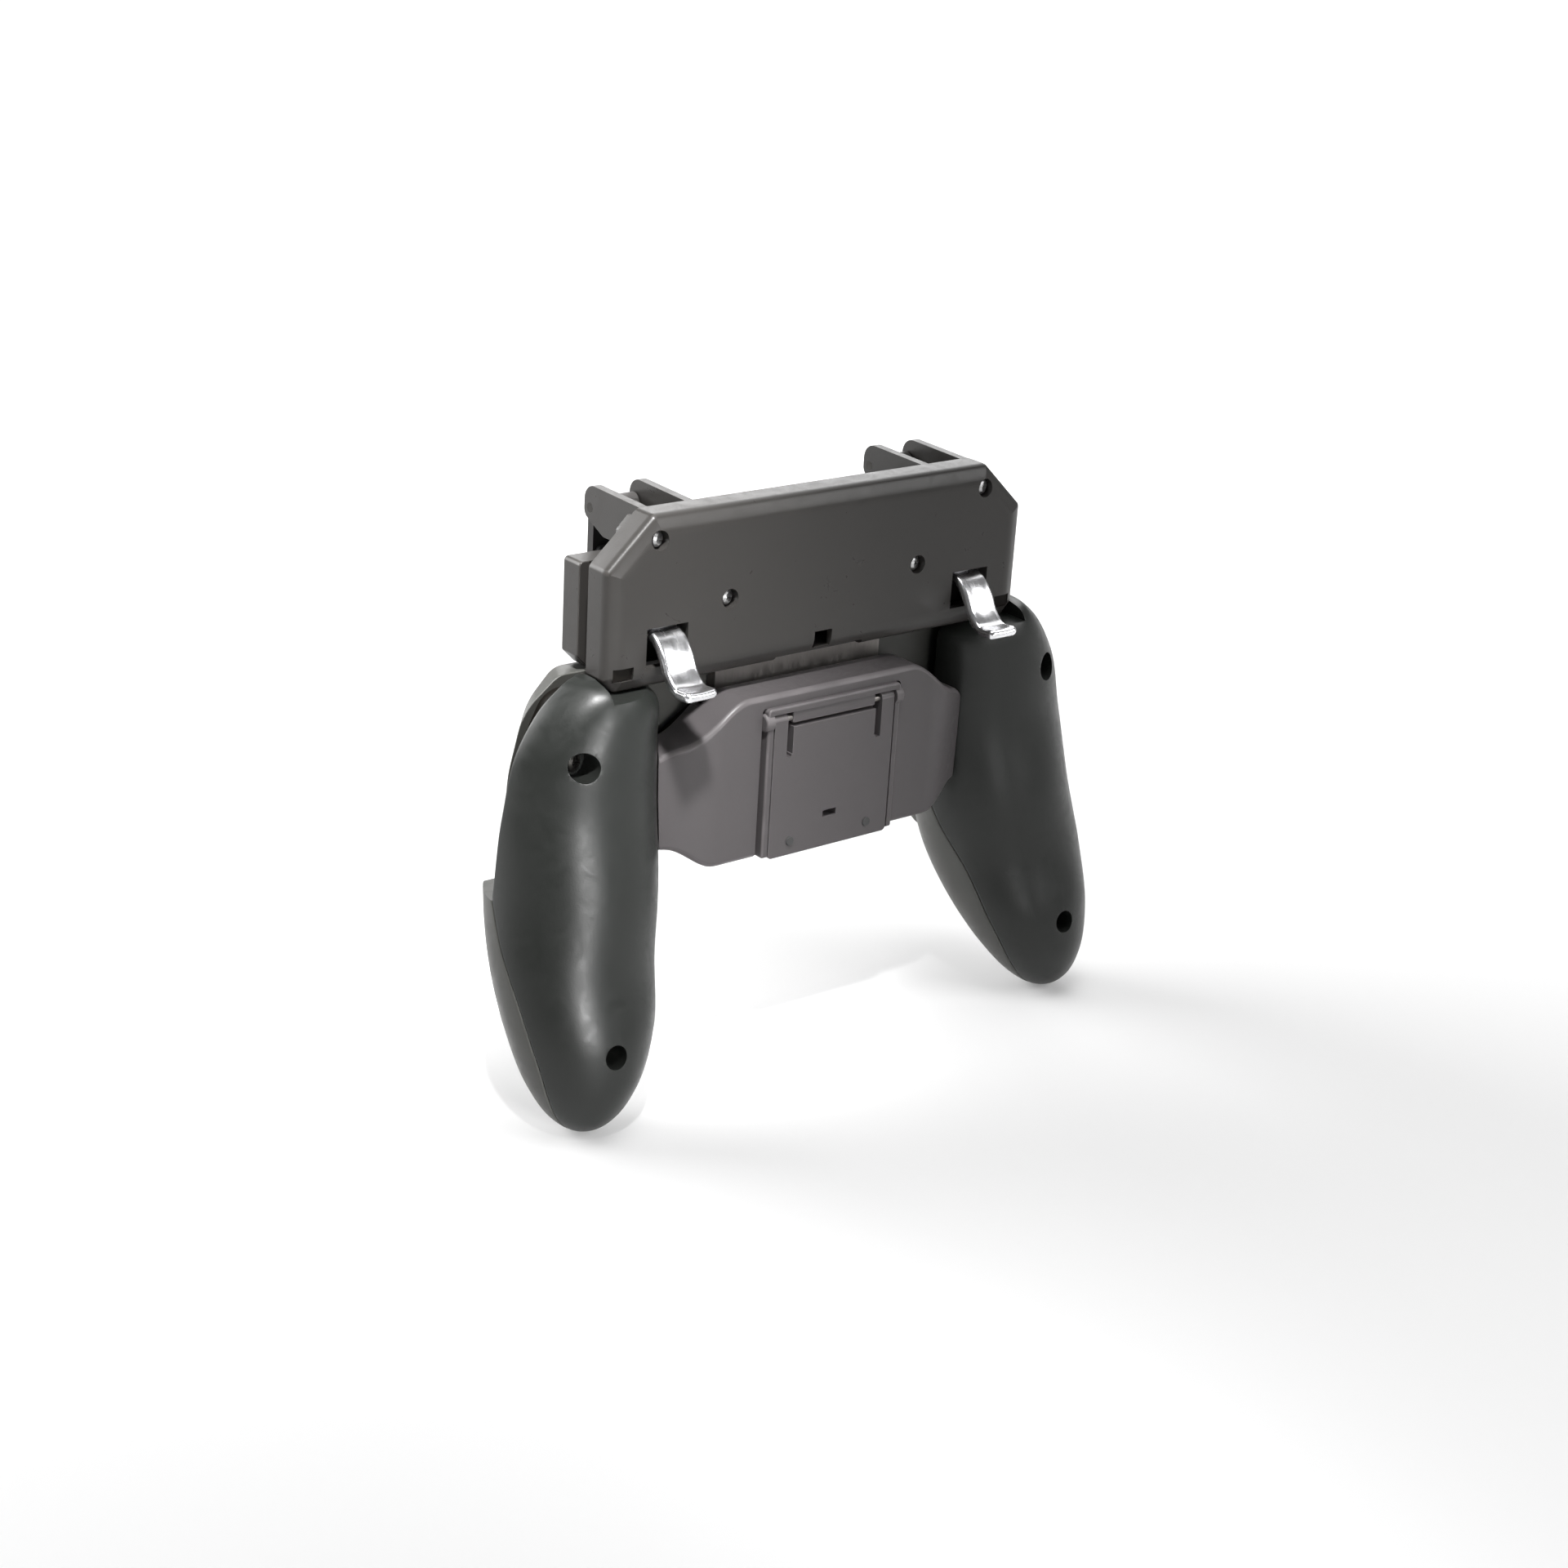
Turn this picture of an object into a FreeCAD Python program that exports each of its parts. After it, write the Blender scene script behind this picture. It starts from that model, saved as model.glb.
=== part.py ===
import FreeCAD, Part
import math
import os
from collections import namedtuple

Vector = FreeCAD.Vector

# Millimetres. +X is the holder's right hand, +Y points to the rear, +Z is up.
# The origin is the middle of the face that the held device leans on.

# Layers of the sandwich, front to rear
PLATE_DEPTH = 5.7
CORE_DEPTH = 3.2
BOX_DEPTH = 7.1
CENTRE_DEPTH = 11.6
WALL = 1.6
CORE_INSET = 2.4
core_front = PLATE_DEPTH
core_rear = core_front + CORE_DEPTH
box_rear = core_rear + BOX_DEPTH
box_inner_rear = box_rear - WALL
centre_rear = core_rear + CENTRE_DEPTH

# Clearances, and a length that passes right through any piece
MOVING_GAP = 0.3
RUNNING_FIT = 0.05
SPLIT_GAP = 0.3
THROUGH = 100.0

# Bay between the ledges and the jaw
BAY_HALF_HEIGHT = 35.6
BAY_DEPTH = 8.2
PAD_THICKNESS = 0.8
LIP_DEPTH = 2.2
LIP_HEIGHT = 3.0
LIFT = 14.0
ledge_top = -BAY_HALF_HEIGHT - PAD_THICKNESS
jaw_bottom = BAY_HALF_HEIGHT + PAD_THICKNESS
plate_top = jaw_bottom - SPLIT_GAP

# Trigger box on the sliding carriage
BOX_HALF_WIDTH = 54.4
BOX_TOP = 46.5
BOX_BOTTOM = 11.3
TOP_CORNER_WIDTH = 10.9
TOP_CORNER_HEIGHT = 10.1
BOTTOM_CORNER = 2.9
BEVEL_WIDTH = 2.6
BEVEL_DEPTH = 1.2
PLATE_BOTTOM = BOX_BOTTOM + 2.6
housing_top = PLATE_BOTTOM - SPLIT_GAP
SCREW_RADIUS = 1.0
SCREW_HEAD_RADIUS = 1.7
SCREW_HEAD_HEIGHT = 1.2
SCREW_RECESS_RADIUS = 2.0
SCREW_RECESS_DEPTH = 2.2
SCREW_BOSS_RADIUS = 3.0
SLOT_CENTRE_X = BOX_HALF_WIDTH - 14.4
SLOT_WIDTH = 10.0
SLOT_BOTTOM = BOX_BOTTOM + 4.5
SLOT_TOP = BOX_BOTTOM + 12.6
WITNESS_PLACE = (BOX_HALF_WIDTH - 4.2, BOX_BOTTOM + 3.9)
WITNESS_WIDTH = 4.6
WITNESS_HEIGHT = 2.8
WITNESS_DEPTH = 0.9
NOTCH_WIDTH = 4.6
NOTCH_TOP = BOX_BOTTOM + 5.3
THUMB_RECESS_WIDTH = 21.4
THUMB_RECESS_HEIGHT = 1.3
THUMB_RECESS_DEPTH = 0.8

# Fins that carry the touch arms
FIN_INNER_X = SLOT_CENTRE_X - 9.0
FIN_OUTER_X = SLOT_CENTRE_X + 2.0
FIN_THICKNESS = 2.0
FIN_REACH = 9.8
FIN_TOP = BOX_TOP + 0.5
FIN_BOTTOM = jaw_bottom + 1.0
FIN_CHIN_RISE = (FIN_TOP - FIN_BOTTOM) / 3
FIN_CHIN_REACH = 3.0
FIN_TIP_RADIUS = FIN_CHIN_RISE
BRACKET_TOP = FIN_TOP - 2.6
BRACKET_HALF_WIDTH = FIN_OUTER_X + 3.4
BRACKET_CHAMFER = 2.0
BRIDGE_BOTTOM = BRACKET_TOP - 1.8
UPPER_SCREW_SHARE = 0.65
UPPER_SCREW = (BOX_HALF_WIDTH - 11.8, jaw_bottom + UPPER_SCREW_SHARE * (BRACKET_TOP - jaw_bottom))
MIDDLE_SCREW = (BOX_HALF_WIDTH - 29.6, BOX_BOTTOM + 15.9)
arm_half_gap = (FIN_OUTER_X - FIN_INNER_X - FIN_THICKNESS) / 2
arm_x = (FIN_OUTER_X + FIN_INNER_X) / 2

# Jaw that bears on the top edge of the held device
JAW_HALF_WIDTH = FIN_INNER_X - 2.0
JAW_THICKNESS = 3.0
JAW_LIP_DROP = 2.2
JAW_LIP_DEPTH = 1.5
PAD_MARGIN = 0.4

# Height of the cover between the grips
CENTRE_TOP = 6.5
CENTRE_BOTTOM = -29.0

# Slide plate that joins the carriage to the housing, and the lugs for its springs
SLIDE_HALF_WIDTH = 22.0
SLIDE_HEAD_HALF_WIDTH = MIDDLE_SCREW[0] + 4.2
SLIDE_ENGAGEMENT = 19.6
SLIDE_BOTTOM = housing_top - LIFT - SLIDE_ENGAGEMENT
SLIDE_SHOULDER = BOX_BOTTOM + 3.7
SLIDE_TOP = MIDDLE_SCREW[1] + 4.8
SLIDE_WINDOW_HALF_WIDTH = 7.0
SLIDE_WINDOW_BOTTOM = SLIDE_BOTTOM + 6.0
SLIDE_WINDOW_TOP = CENTRE_TOP - 3.0
LUG_X = SLIDE_HALF_WIDTH - 8.0
LUG_Z = SLIDE_BOTTOM + 9.0
LUG_RADIUS = 1.2
SPRING_Y = core_rear + 3.1
SPRING_OUTER_RADIUS = 2.0
SPRING_WIRE = 0.5

# Trigger lever; its blade's path is given from its pivot in Y and Z
TRIGGER_PIVOT = (core_rear + 2.4, BOX_BOTTOM + 13.3)
TRIGGER_WIDTH = 7.6
TRIGGER_HUB_RADIUS = 2.5
TRIGGER_BLADE_PATH = [(1.0, -1.9), (5.0, -3.3), (7.4, -5.7), (9.5, -9.2), (12.7, -11.7), (16.1, -11.6)]
TRIGGER_ROOT_THICKNESS = 2.4
TRIGGER_TIP_THICKNESS = 2.2
PIVOT_PIN_RADIUS = 1.0
PIVOT_RIB_THICKNESS = 1.5
PIVOT_RIB_HALF_HEIGHT = 3.9
SPRING_COIL_RADIUS = 2.0
SPRING_COIL_WIDTH = 1.2
SPRING_LEG = 0.6
NOSE_WIDTH = 3.2
CONTACT_RADIUS = 1.2
CONTACT_Y = 4.0

# Touch arm
ARM_PIVOT = (2.0 - FIN_REACH, (FIN_TOP + FIN_BOTTOM) / 2)
ARM_HUB_RADIUS = 2.0
ARM_THICKNESS = 2.0
ARM_KNEE_DROP = 3.2
ARM_DROP_Y = ARM_PIVOT[0] - 3.7
ARM_FOOT_Z = BAY_HALF_HEIGHT - 8.0
ARM_ELBOW = (1.4, ARM_PIVOT[1] - 1.0)
ARM_WRIST_DROP = 4.0
TOUCH_PAD_HEIGHT = 5.0
TOUCH_PAD_THICKNESS = 1.2
TOUCH_PAD_WIDTH = 6.0

# Grip shells: stations down the handle, each an oval across the handle with its x given from GRIP_X
GRIP_X = BOX_HALF_WIDTH + 2.0
Station = namedtuple("Station", "z x y half_width half_depth tilt")
GRIP_STATIONS = [
    Station(14.3, -0.8, 9.2, 1.6, 3.4, 0.0),
    Station(12.6, -1.0, 8.8, 5.2, 9.6, 0.0),
    Station(8.5, -0.5, 8.0, 9.6, 12.6, 0.0),
    Station(1.5, 0.1, 7.5, 13.6, 14.2, 1.0),
    Station(-12.0, 0.0, 7.5, 17.1, 15.5, 5.0),
    Station(-28.0, 0.8, 9.7, 18.2, 17.0, 12.0),
    Station(-44.0, 2.6, 13.8, 18.4, 15.8, 20.0),
    Station(-57.0, 4.2, 19.6, 15.8, 14.4, 16.0),
    Station(-66.5, 5.8, 23.2, 11.8, 11.4, 8.0),
    Station(-72.6, 6.8, 25.0, 7.4, 7.4, 0.0),
    Station(-75.4, 7.2, 25.8, 3.4, 3.4, 0.0),
    Station(-75.9, 7.3, 26.0, 1.2, 1.2, 0.0),
]
STATION_POINTS = 10
GRIP_WALL = 2.2
PARTING_START_Z = -29.3
PARTING_CURVE = [(13.4, -36.5), (19.0, -44.5), (24.0, -54.0), (27.0, -63.0), (27.4, -71.0), (26.4, -80.0)]
GRIP_SCREW_UPPER = (GRIP_X + 5.4, -0.5)
GRIP_SCREW_LOWER = (GRIP_X + 5.2, -57.4)
GRIP_UPPER_RECESS = (3.0, 15.5)
GRIP_LOWER_RECESS = (2.5, 27.0)
GRIP_BOSS_RADIUS = 4.2
GRIP_SCREW_LENGTH = 11.5

# Ledge with lip at the front of each grip
LEDGE_INNER_X = GRIP_X - 9.4
LEDGE_OUTER_X = GRIP_X + 6.1
CHIN_BOTTOM = ledge_top - 10.1
CHIN_ROOT_Y = core_rear + 0.1

# Fixed housing between the grips, with the arch in its lower edge
SIDE_DRAFT = 4.6
HOUSING_HALF_WIDTH = GRIP_X + 14.8
CENTRE_HALF_WIDTH = GRIP_X - 10.4
ARCH_TOP = CENTRE_BOTTOM + 4.6
ARCH_OUTER_X = GRIP_X - 19.4
ARCH_INNER_X = ARCH_OUTER_X - 6.0
SPRING_POST_Z = CENTRE_BOTTOM + 3.7

# Kickstand leaf and its hinge
LEAF_HALF_WIDTH = 16.0
LEAF_THICKNESS = 2.6
LEAF_BOTTOM = CENTRE_BOTTOM - 0.5
LEAF_FRAME_WIDTH = 1.4
HINGE_Y = centre_rear - 0.1
HINGE_Z = 0.9
HINGE_BLOCK_HALF_WIDTH = LEAF_HALF_WIDTH - 5.0
HINGE_PIN_START = HINGE_BLOCK_HALF_WIDTH - 2.0
HINGE_PIN_RADIUS = 0.7
EAR_GAP = 0.8
FLEX_SLIT_BOTTOM = HINGE_Z - 7.7
LEAF_TOP = HINGE_Z - 1.7
FINGER_SLOT_Z = CENTRE_BOTTOM + 6.9
FINGER_SLOT_WIDTH = 3.6
FINGER_SLOT_HEIGHT = 1.5
FOOT_PLACE = (LEAF_HALF_WIDTH - 5.6, CENTRE_BOTTOM + 2.6)
FOOT_RADIUS = 1.0
FOOT_DEPTH = 1.2
FOOT_RISE = 0.3


def to_plane(plane, u, v, w):
    """Place a 2D point of a named plane at distance w along the plane's normal."""
    if plane == "XZ":
        return Vector(u, w, v)
    if plane == "YZ":
        return Vector(w, u, v)
    return Vector(u, v, w)


def rounded_wire(corners, plane, w):
    """Closed wire through corners (u, v, radius), with an arc at each rounded corner."""
    edges = []
    last_end = None
    first_start = None
    count = len(corners)
    for i in range(count):
        u0, v0 = corners[i - 1][:2]
        u1, v1, radius = corners[i]
        u2, v2 = corners[(i + 1) % count][:2]
        point = Vector(u1, v1, 0)
        back = (Vector(u0, v0, 0) - point).normalize()
        ahead = (Vector(u2, v2, 0) - point).normalize()
        start = point
        end = point
        if radius > 0:
            half_turn = back.getAngle(ahead) / 2
            setback = radius / math.tan(half_turn)
            start = point + back * setback
            end = point + ahead * setback
            inward = (back + ahead).normalize()
            middle = point + inward * (radius / math.sin(half_turn) - radius)
        if last_end is None:
            first_start = start
        else:
            edges.append(line_edge(last_end, start, plane, w))
        if radius > 0:
            ends = [to_plane(plane, p.x, p.y, w) for p in (start, middle, end)]
            edges.append(Part.Arc(*ends).toShape())
        last_end = end
    edges.append(line_edge(last_end, first_start, plane, w))
    return Part.Wire(edges)


def line_edge(start, end, plane, w):
    """Straight edge between two 2D points of a named plane."""
    return Part.LineSegment(to_plane(plane, start.x, start.y, w), to_plane(plane, end.x, end.y, w)).toShape()


def prism(corners, plane, start, stop):
    """Solid with the rounded outline, from start to stop along the plane's normal."""
    full = [corner if len(corner) == 3 else (corner[0], corner[1], 0) for corner in corners]
    face = Part.Face(rounded_wire(full, plane, start))
    return face.extrude(to_plane(plane, 0, 0, stop - start))


def mirrored(corners):
    """Right-hand corners, bottom to top, followed by their mirror images down the left side."""
    left = [(-corner[0],) + tuple(corner[1:]) for corner in reversed(corners)]
    return list(corners) + left


def block(x0, x1, y0, y1, z0, z1):
    """Box between two corners."""
    return Part.makeBox(x1 - x0, y1 - y0, z1 - z0, Vector(x0, y0, z0))


def rod_x(radius, x0, x1, y, z):
    """Round bar along X."""
    return Part.makeCylinder(radius, x1 - x0, Vector(x0, y, z), Vector(1, 0, 0))


def rod_y(radius, y0, y1, x, z):
    """Round bar along Y."""
    return Part.makeCylinder(radius, y1 - y0, Vector(x, y0, z), Vector(0, 1, 0))


def rod_z(radius, z0, z1, x, y):
    """Round bar along Z."""
    return Part.makeCylinder(radius, z1 - z0, Vector(x, y, z0), Vector(0, 0, 1))


def other_hand(shape):
    """Mirror image across the X = 0 plane."""
    return shape.mirror(Vector(0, 0, 0), Vector(1, 0, 0))


def both_hands(shape):
    """The shape and its mirror image as a list."""
    return [shape, other_hand(shape)]


def inset(points, distance):
    """Anticlockwise polygon moved inwards by a distance."""
    moved = []
    count = len(points)
    for i in range(count):
        before, here, after = points[i - 1], points[i], points[(i + 1) % count]
        lines = []
        for a, b in ((before, here), (here, after)):
            run = math.hypot(b[0] - a[0], b[1] - a[1])
            nx, nz = -(b[1] - a[1]) / run, (b[0] - a[0]) / run
            lines.append((nx, nz, nx * a[0] + nz * a[1] + distance))
        (a1, b1, c1), (a2, b2, c2) = lines
        det = a1 * b2 - a2 * b1
        corner = ((c1 * b2 - c2 * b1) / det, (a1 * c2 - a2 * c1) / det)
        moved.append(corner + tuple(here[2:]))
    return moved


def box_outline(bottom=BOX_BOTTOM, top=BOX_TOP):
    """Outline of the trigger box in X and Z, with its cut corners."""
    corner_side = BOX_TOP - TOP_CORNER_HEIGHT
    slope = TOP_CORNER_WIDTH / TOP_CORNER_HEIGHT
    top_x = BOX_HALF_WIDTH - (top - corner_side) * slope
    right = [
        (BOX_HALF_WIDTH - BOTTOM_CORNER, bottom),
        (BOX_HALF_WIDTH, bottom + BOTTOM_CORNER),
        (BOX_HALF_WIDTH, corner_side),
        (top_x, top),
    ]
    return mirrored(right)


def housing_outline(side_draft=0.0):
    """Outline of the fixed front shell in X and Z: a wide plate that follows the shoulders of the grips."""
    bottom = PARTING_START_Z + SPLIT_GAP
    side_x = HOUSING_HALF_WIDTH - side_draft
    foot_x = GRIP_X - 12.2
    right = [
        (ARCH_INNER_X, CENTRE_BOTTOM, 4.0),
        (ARCH_OUTER_X, ARCH_TOP, 3.0),
        (foot_x, ARCH_TOP, 2.0),
        (foot_x, bottom, 0.8),
        (side_x, bottom, 1.5),
        (side_x, bottom + 10.0, 40.0),
        (side_x - 1.2, bottom + 24.0, 30.0),
        (side_x - 4.4, housing_top - 6.4, 12.0),
        (side_x - 12.6 + side_draft / 2, housing_top, 5.0),
    ]
    return mirrored(right)


def mid_outline():
    """Outline of the fixed core: it stays inside the rims of the grip shells and of the centre cover."""
    foot = PARTING_START_Z + 1.5
    arch = ARCH_TOP + CORE_INSET - 0.2
    top = housing_top - CORE_INSET
    right = [
        (ARCH_INNER_X - 1.0, CENTRE_BOTTOM + CORE_INSET, 2.0),
        (ARCH_OUTER_X - 0.8, arch, 2.0),
        (CENTRE_HALF_WIDTH, arch, 1.0),
        (CENTRE_HALF_WIDTH, foot, 1.0),
        (HOUSING_HALF_WIDTH - 0.2, foot, 1.0),
        (HOUSING_HALF_WIDTH - 0.6, foot + 13.8, 25.0),
        (HOUSING_HALF_WIDTH - 3.2, foot + 26.8, 20.0),
        (HOUSING_HALF_WIDTH - 9.2, top, 6.0),
        (GRIP_X - 6.2, top, 4.0),
        (CENTRE_HALF_WIDTH - 1.4, CENTRE_TOP - 10.7, 2.0),
        (CENTRE_HALF_WIDTH - 10.6, CENTRE_TOP - 10.5, 1.0),
        (SLIDE_HALF_WIDTH + 1.6, CENTRE_TOP - 2.7, 0.5),
    ]
    return mirrored(right)


def screw(x, z, head_rear, head_radius, length):
    """Pan-head screw along Y."""
    head = rod_y(head_radius, head_rear - SCREW_HEAD_HEIGHT, head_rear, x, z)
    shank = rod_y(SCREW_RADIUS, head_rear - SCREW_HEAD_HEIGHT - length, head_rear - SCREW_HEAD_HEIGHT, x, z)
    return head.fuse(shank).removeSplitter()


def oval(station, shrink=0.0):
    """Closed smooth curve round one station of the handle."""
    points = []
    tilt = math.radians(station.tilt)
    width = station.half_width - shrink
    depth = station.half_depth - shrink
    for i in range(STATION_POINTS):
        angle = 2 * math.pi * i / STATION_POINTS
        u = width * math.cos(angle)
        v = depth * math.sin(angle)
        x = GRIP_X + station.x + u * math.cos(tilt) - v * math.sin(tilt)
        y = station.y + u * math.sin(tilt) + v * math.cos(tilt)
        points.append(Vector(x, y, station.z))
    curve = Part.BSplineCurve()
    curve.interpolate(Points=points, PeriodicFlag=True)
    return Part.Wire([curve.toShape()])


def handle(stations, shrink=0.0):
    """Lofted handle through its stations."""
    return Part.makeLoft([oval(station, shrink) for station in stations], True, False)


def parting_tool(side_y):
    """Everything between a depth and the curved joint of a grip's rear and front shells."""
    bottom_y, bottom_z = PARTING_CURVE[-1]
    joint = Part.BSplineCurve()
    places = [(core_rear, PARTING_START_Z)] + PARTING_CURVE
    joint.interpolate([Vector(0, y, z) for y, z in places])
    if side_y > core_rear:
        far = [(side_y, bottom_z), (side_y, THROUGH), (core_rear, THROUGH), (core_rear, PARTING_START_Z)]
    else:
        far = [(side_y, bottom_z), (side_y, PARTING_START_Z), (core_rear, PARTING_START_Z)]
    edges = [joint.toShape()]
    here = (bottom_y, bottom_z)
    for place in far:
        edges.append(line_edge(Vector(here[0], here[1], 0), Vector(place[0], place[1], 0), "YZ", 0.0))
        here = place
    return Part.Face(Part.Wire(edges)).extrude(Vector(THROUGH, 0, 0))


def grip_rear_shell(outer, hollow):
    """Rear shell of the right grip, with screw bosses and the step under the trigger box."""
    rear_side = parting_tool(THROUGH)
    shell = outer.common(rear_side)
    cavity = hollow.common(rear_side)
    bosses = []
    for x, z in (GRIP_SCREW_UPPER, GRIP_SCREW_LOWER):
        bosses.append(rod_y(GRIP_BOSS_RADIUS, core_rear, THROUGH, x, z))
    cavity = cavity.cut(bosses)
    shell = shell.cut(cavity)
    places = ((GRIP_SCREW_UPPER, GRIP_UPPER_RECESS), (GRIP_SCREW_LOWER, GRIP_LOWER_RECESS))
    for (x, z), (recess_radius, seat_y) in places:
        shell = shell.cut(rod_y(recess_radius, seat_y, THROUGH, x, z))
        shell = shell.cut(rod_y(SCREW_RADIUS, core_rear - 1, seat_y, x, z))
    step = block(0, BOX_HALF_WIDTH + MOVING_GAP, 0, THROUGH, BOX_BOTTOM - MOVING_GAP, THROUGH)
    return shell.cut(step)


def chin():
    """Front of the right grip: the ledge under the bay and the lip that rises in front of it."""
    lip_front = -BAY_DEPTH - LIP_DEPTH
    profile = [
        (CHIN_ROOT_Y, ledge_top, 0),
        (CHIN_ROOT_Y, CHIN_BOTTOM, 0),
        (-1.5, CHIN_BOTTOM, 5.0),
        (lip_front, ledge_top - 3.0, 6.0),
        (lip_front, ledge_top + LIP_HEIGHT, 1.0),
        (-BAY_DEPTH, ledge_top + LIP_HEIGHT, 1.0),
        (-BAY_DEPTH, ledge_top, 0),
    ]
    side = prism(profile, "YZ", LEDGE_INNER_X, LEDGE_OUTER_X)
    face = [
        (LEDGE_INNER_X + 5.0, CHIN_BOTTOM, 5.0),
        (LEDGE_OUTER_X - 1.0, CHIN_BOTTOM, 5.0),
        (LEDGE_OUTER_X, ledge_top + LIP_HEIGHT + 1, 3.0),
        (LEDGE_INNER_X, ledge_top + LIP_HEIGHT + 1, 3.0),
    ]
    front = prism(face, "XZ", lip_front - 1, CHIN_ROOT_Y + 1)
    return side.common(front)


def grip_front_shell(outer, hollow):
    """Front shell of the right grip, below the housing's front shell."""
    front_side = parting_tool(-THROUGH)
    shell = outer.common(front_side)
    shell = shell.fuse(chin().common(front_side))
    bay = block(0, THROUGH, -BAY_DEPTH, 0, ledge_top, 0)
    shell = shell.cut(bay)
    above = block(0, THROUGH, -THROUGH, -BAY_DEPTH, ledge_top + LIP_HEIGHT, 0)
    shell = shell.cut(above)
    inner = hollow.common(front_side)
    inner = inner.cut(block(0, THROUGH, -THROUGH, THROUGH, ledge_top - GRIP_WALL, 0))
    x, z = GRIP_SCREW_LOWER
    inner = inner.cut(rod_y(GRIP_BOSS_RADIUS, 0, THROUGH, x, z))
    shell = shell.cut(inner)
    seat_y = GRIP_LOWER_RECESS[1]
    return shell.cut(rod_y(SCREW_RADIUS, seat_y - GRIP_SCREW_LENGTH - 2, seat_y, x, z))


def grip_screws():
    """Screws that close both grips, deep in their recesses."""
    parts = []
    places = ((GRIP_SCREW_UPPER, GRIP_UPPER_RECESS), (GRIP_SCREW_LOWER, GRIP_LOWER_RECESS))
    for (x, z), (recess_radius, seat_y) in places:
        one = screw(x, z, seat_y + SCREW_HEAD_HEIGHT, recess_radius - MOVING_GAP, GRIP_SCREW_LENGTH)
        parts += both_hands(one)
    return Part.makeCompound(parts)


def front_shell():
    """Fixed front shell whose face carries the held device."""
    front = rounded_wire(housing_outline(SIDE_DRAFT), "XZ", 0.0)
    rear = rounded_wire(housing_outline(), "XZ", core_front)
    plate = Part.makeLoft([front, rear], True, True)
    screw_tip = GRIP_UPPER_RECESS[1] - GRIP_SCREW_LENGTH
    for x in (GRIP_SCREW_UPPER[0], -GRIP_SCREW_UPPER[0]):
        plate = plate.cut(rod_y(SCREW_RADIUS, screw_tip, core_front + 1, x, GRIP_SCREW_UPPER[1]))
    return plate


def mid_frame():
    """Dark core between the front and rear shells, with the channel that guides the slide plate."""
    core = prism(mid_outline(), "XZ", core_front, core_rear)
    half = SLIDE_HALF_WIDTH + MOVING_GAP
    core = core.cut(block(-half, half, 0, THROUGH, SLIDE_BOTTOM - MOVING_GAP, THROUGH))
    for x in (GRIP_SCREW_UPPER[0], -GRIP_SCREW_UPPER[0]):
        core = core.cut(rod_y(SCREW_RADIUS, 0, THROUGH, x, GRIP_SCREW_UPPER[1]))
    return core


def centre_rear_shell(grips):
    """Centre cover with the kickstand frame, its hinge block and the spring posts inside."""
    upright = mirrored([
        (ARCH_INNER_X, CENTRE_BOTTOM, 4.0),
        (ARCH_OUTER_X, ARCH_TOP, 3.0),
        (CENTRE_HALF_WIDTH, ARCH_TOP, 0),
        (CENTRE_HALF_WIDTH, CENTRE_TOP - 12.5, 0),
        (CENTRE_HALF_WIDTH - 10.0, CENTRE_TOP - 7.9, 3.0),
        (SLIDE_HALF_WIDTH + 1.5, CENTRE_TOP, 2.5),
    ])
    across = mirrored([
        (CENTRE_HALF_WIDTH, core_rear, 0),
        (CENTRE_HALF_WIDTH, core_rear + 3.1, 0),
        (CENTRE_HALF_WIDTH - 14.0, centre_rear, 8.0),
    ])
    slab = prism(across, "XY", CENTRE_BOTTOM - 1, CENTRE_TOP + 1)
    shell = prism(upright, "XZ", core_rear, centre_rear).common(slab)
    frame_half = LEAF_HALF_WIDTH + MOVING_GAP + LEAF_FRAME_WIDTH
    leaf_rear = HINGE_Y + LEAF_THICKNESS / 2
    frame_top = HINGE_Z + LEAF_THICKNESS / 2 + MOVING_GAP + LEAF_FRAME_WIDTH
    frame = block(-frame_half, frame_half, core_rear, leaf_rear, CENTRE_BOTTOM, frame_top)
    shell = shell.fuse(frame)
    shell = shell.cut(grips)
    pocket_floor = HINGE_Y - LEAF_THICKNESS / 2 - MOVING_GAP
    pocket_half = LEAF_HALF_WIDTH + MOVING_GAP
    pocket_top = HINGE_Z + LEAF_THICKNESS / 2 + MOVING_GAP
    shell = shell.cut(block(-pocket_half, pocket_half, pocket_floor, THROUGH, -THROUGH, pocket_top))
    half = HINGE_BLOCK_HALF_WIDTH
    hinge_block = block(-half, half, pocket_floor, leaf_rear - MOVING_GAP, HINGE_Z - 1.1, pocket_top)
    shell = shell.fuse(hinge_block)
    inner_half = ARCH_INNER_X
    cavity = block(-inner_half, inner_half, 0, pocket_floor - WALL, CENTRE_BOTTOM + WALL, CENTRE_TOP - WALL)
    slope = [
        (SLIDE_HALF_WIDTH - 2.0, CENTRE_TOP + 1.5),
        (CENTRE_HALF_WIDTH - 4.0, CENTRE_TOP - 11.5),
        (CENTRE_HALF_WIDTH - 4.0, CENTRE_TOP + 1.5),
    ]
    corner = prism(slope, "XZ", 0.0, THROUGH)
    cavity = cavity.cut(both_hands(corner))
    shell = shell.cut(cavity)
    for x in (LUG_X, -LUG_X):
        shell = shell.fuse(rod_y(LUG_RADIUS, core_rear + 0.6, pocket_floor - WALL, x, SPRING_POST_Z))
    for x0, x1 in ((HINGE_PIN_START, half), (-half, -HINGE_PIN_START)):
        shell = shell.cut(rod_x(HINGE_PIN_RADIUS, x0, x1, HINGE_Y, HINGE_Z))
    return shell.removeSplitter()


def kickstand_pins():
    """Hinge pins pressed into the ends of the hinge block."""
    one = rod_x(HINGE_PIN_RADIUS, HINGE_PIN_START, LEAF_HALF_WIDTH - 0.4, HINGE_Y, HINGE_Z)
    return Part.makeCompound(both_hands(one))


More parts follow.
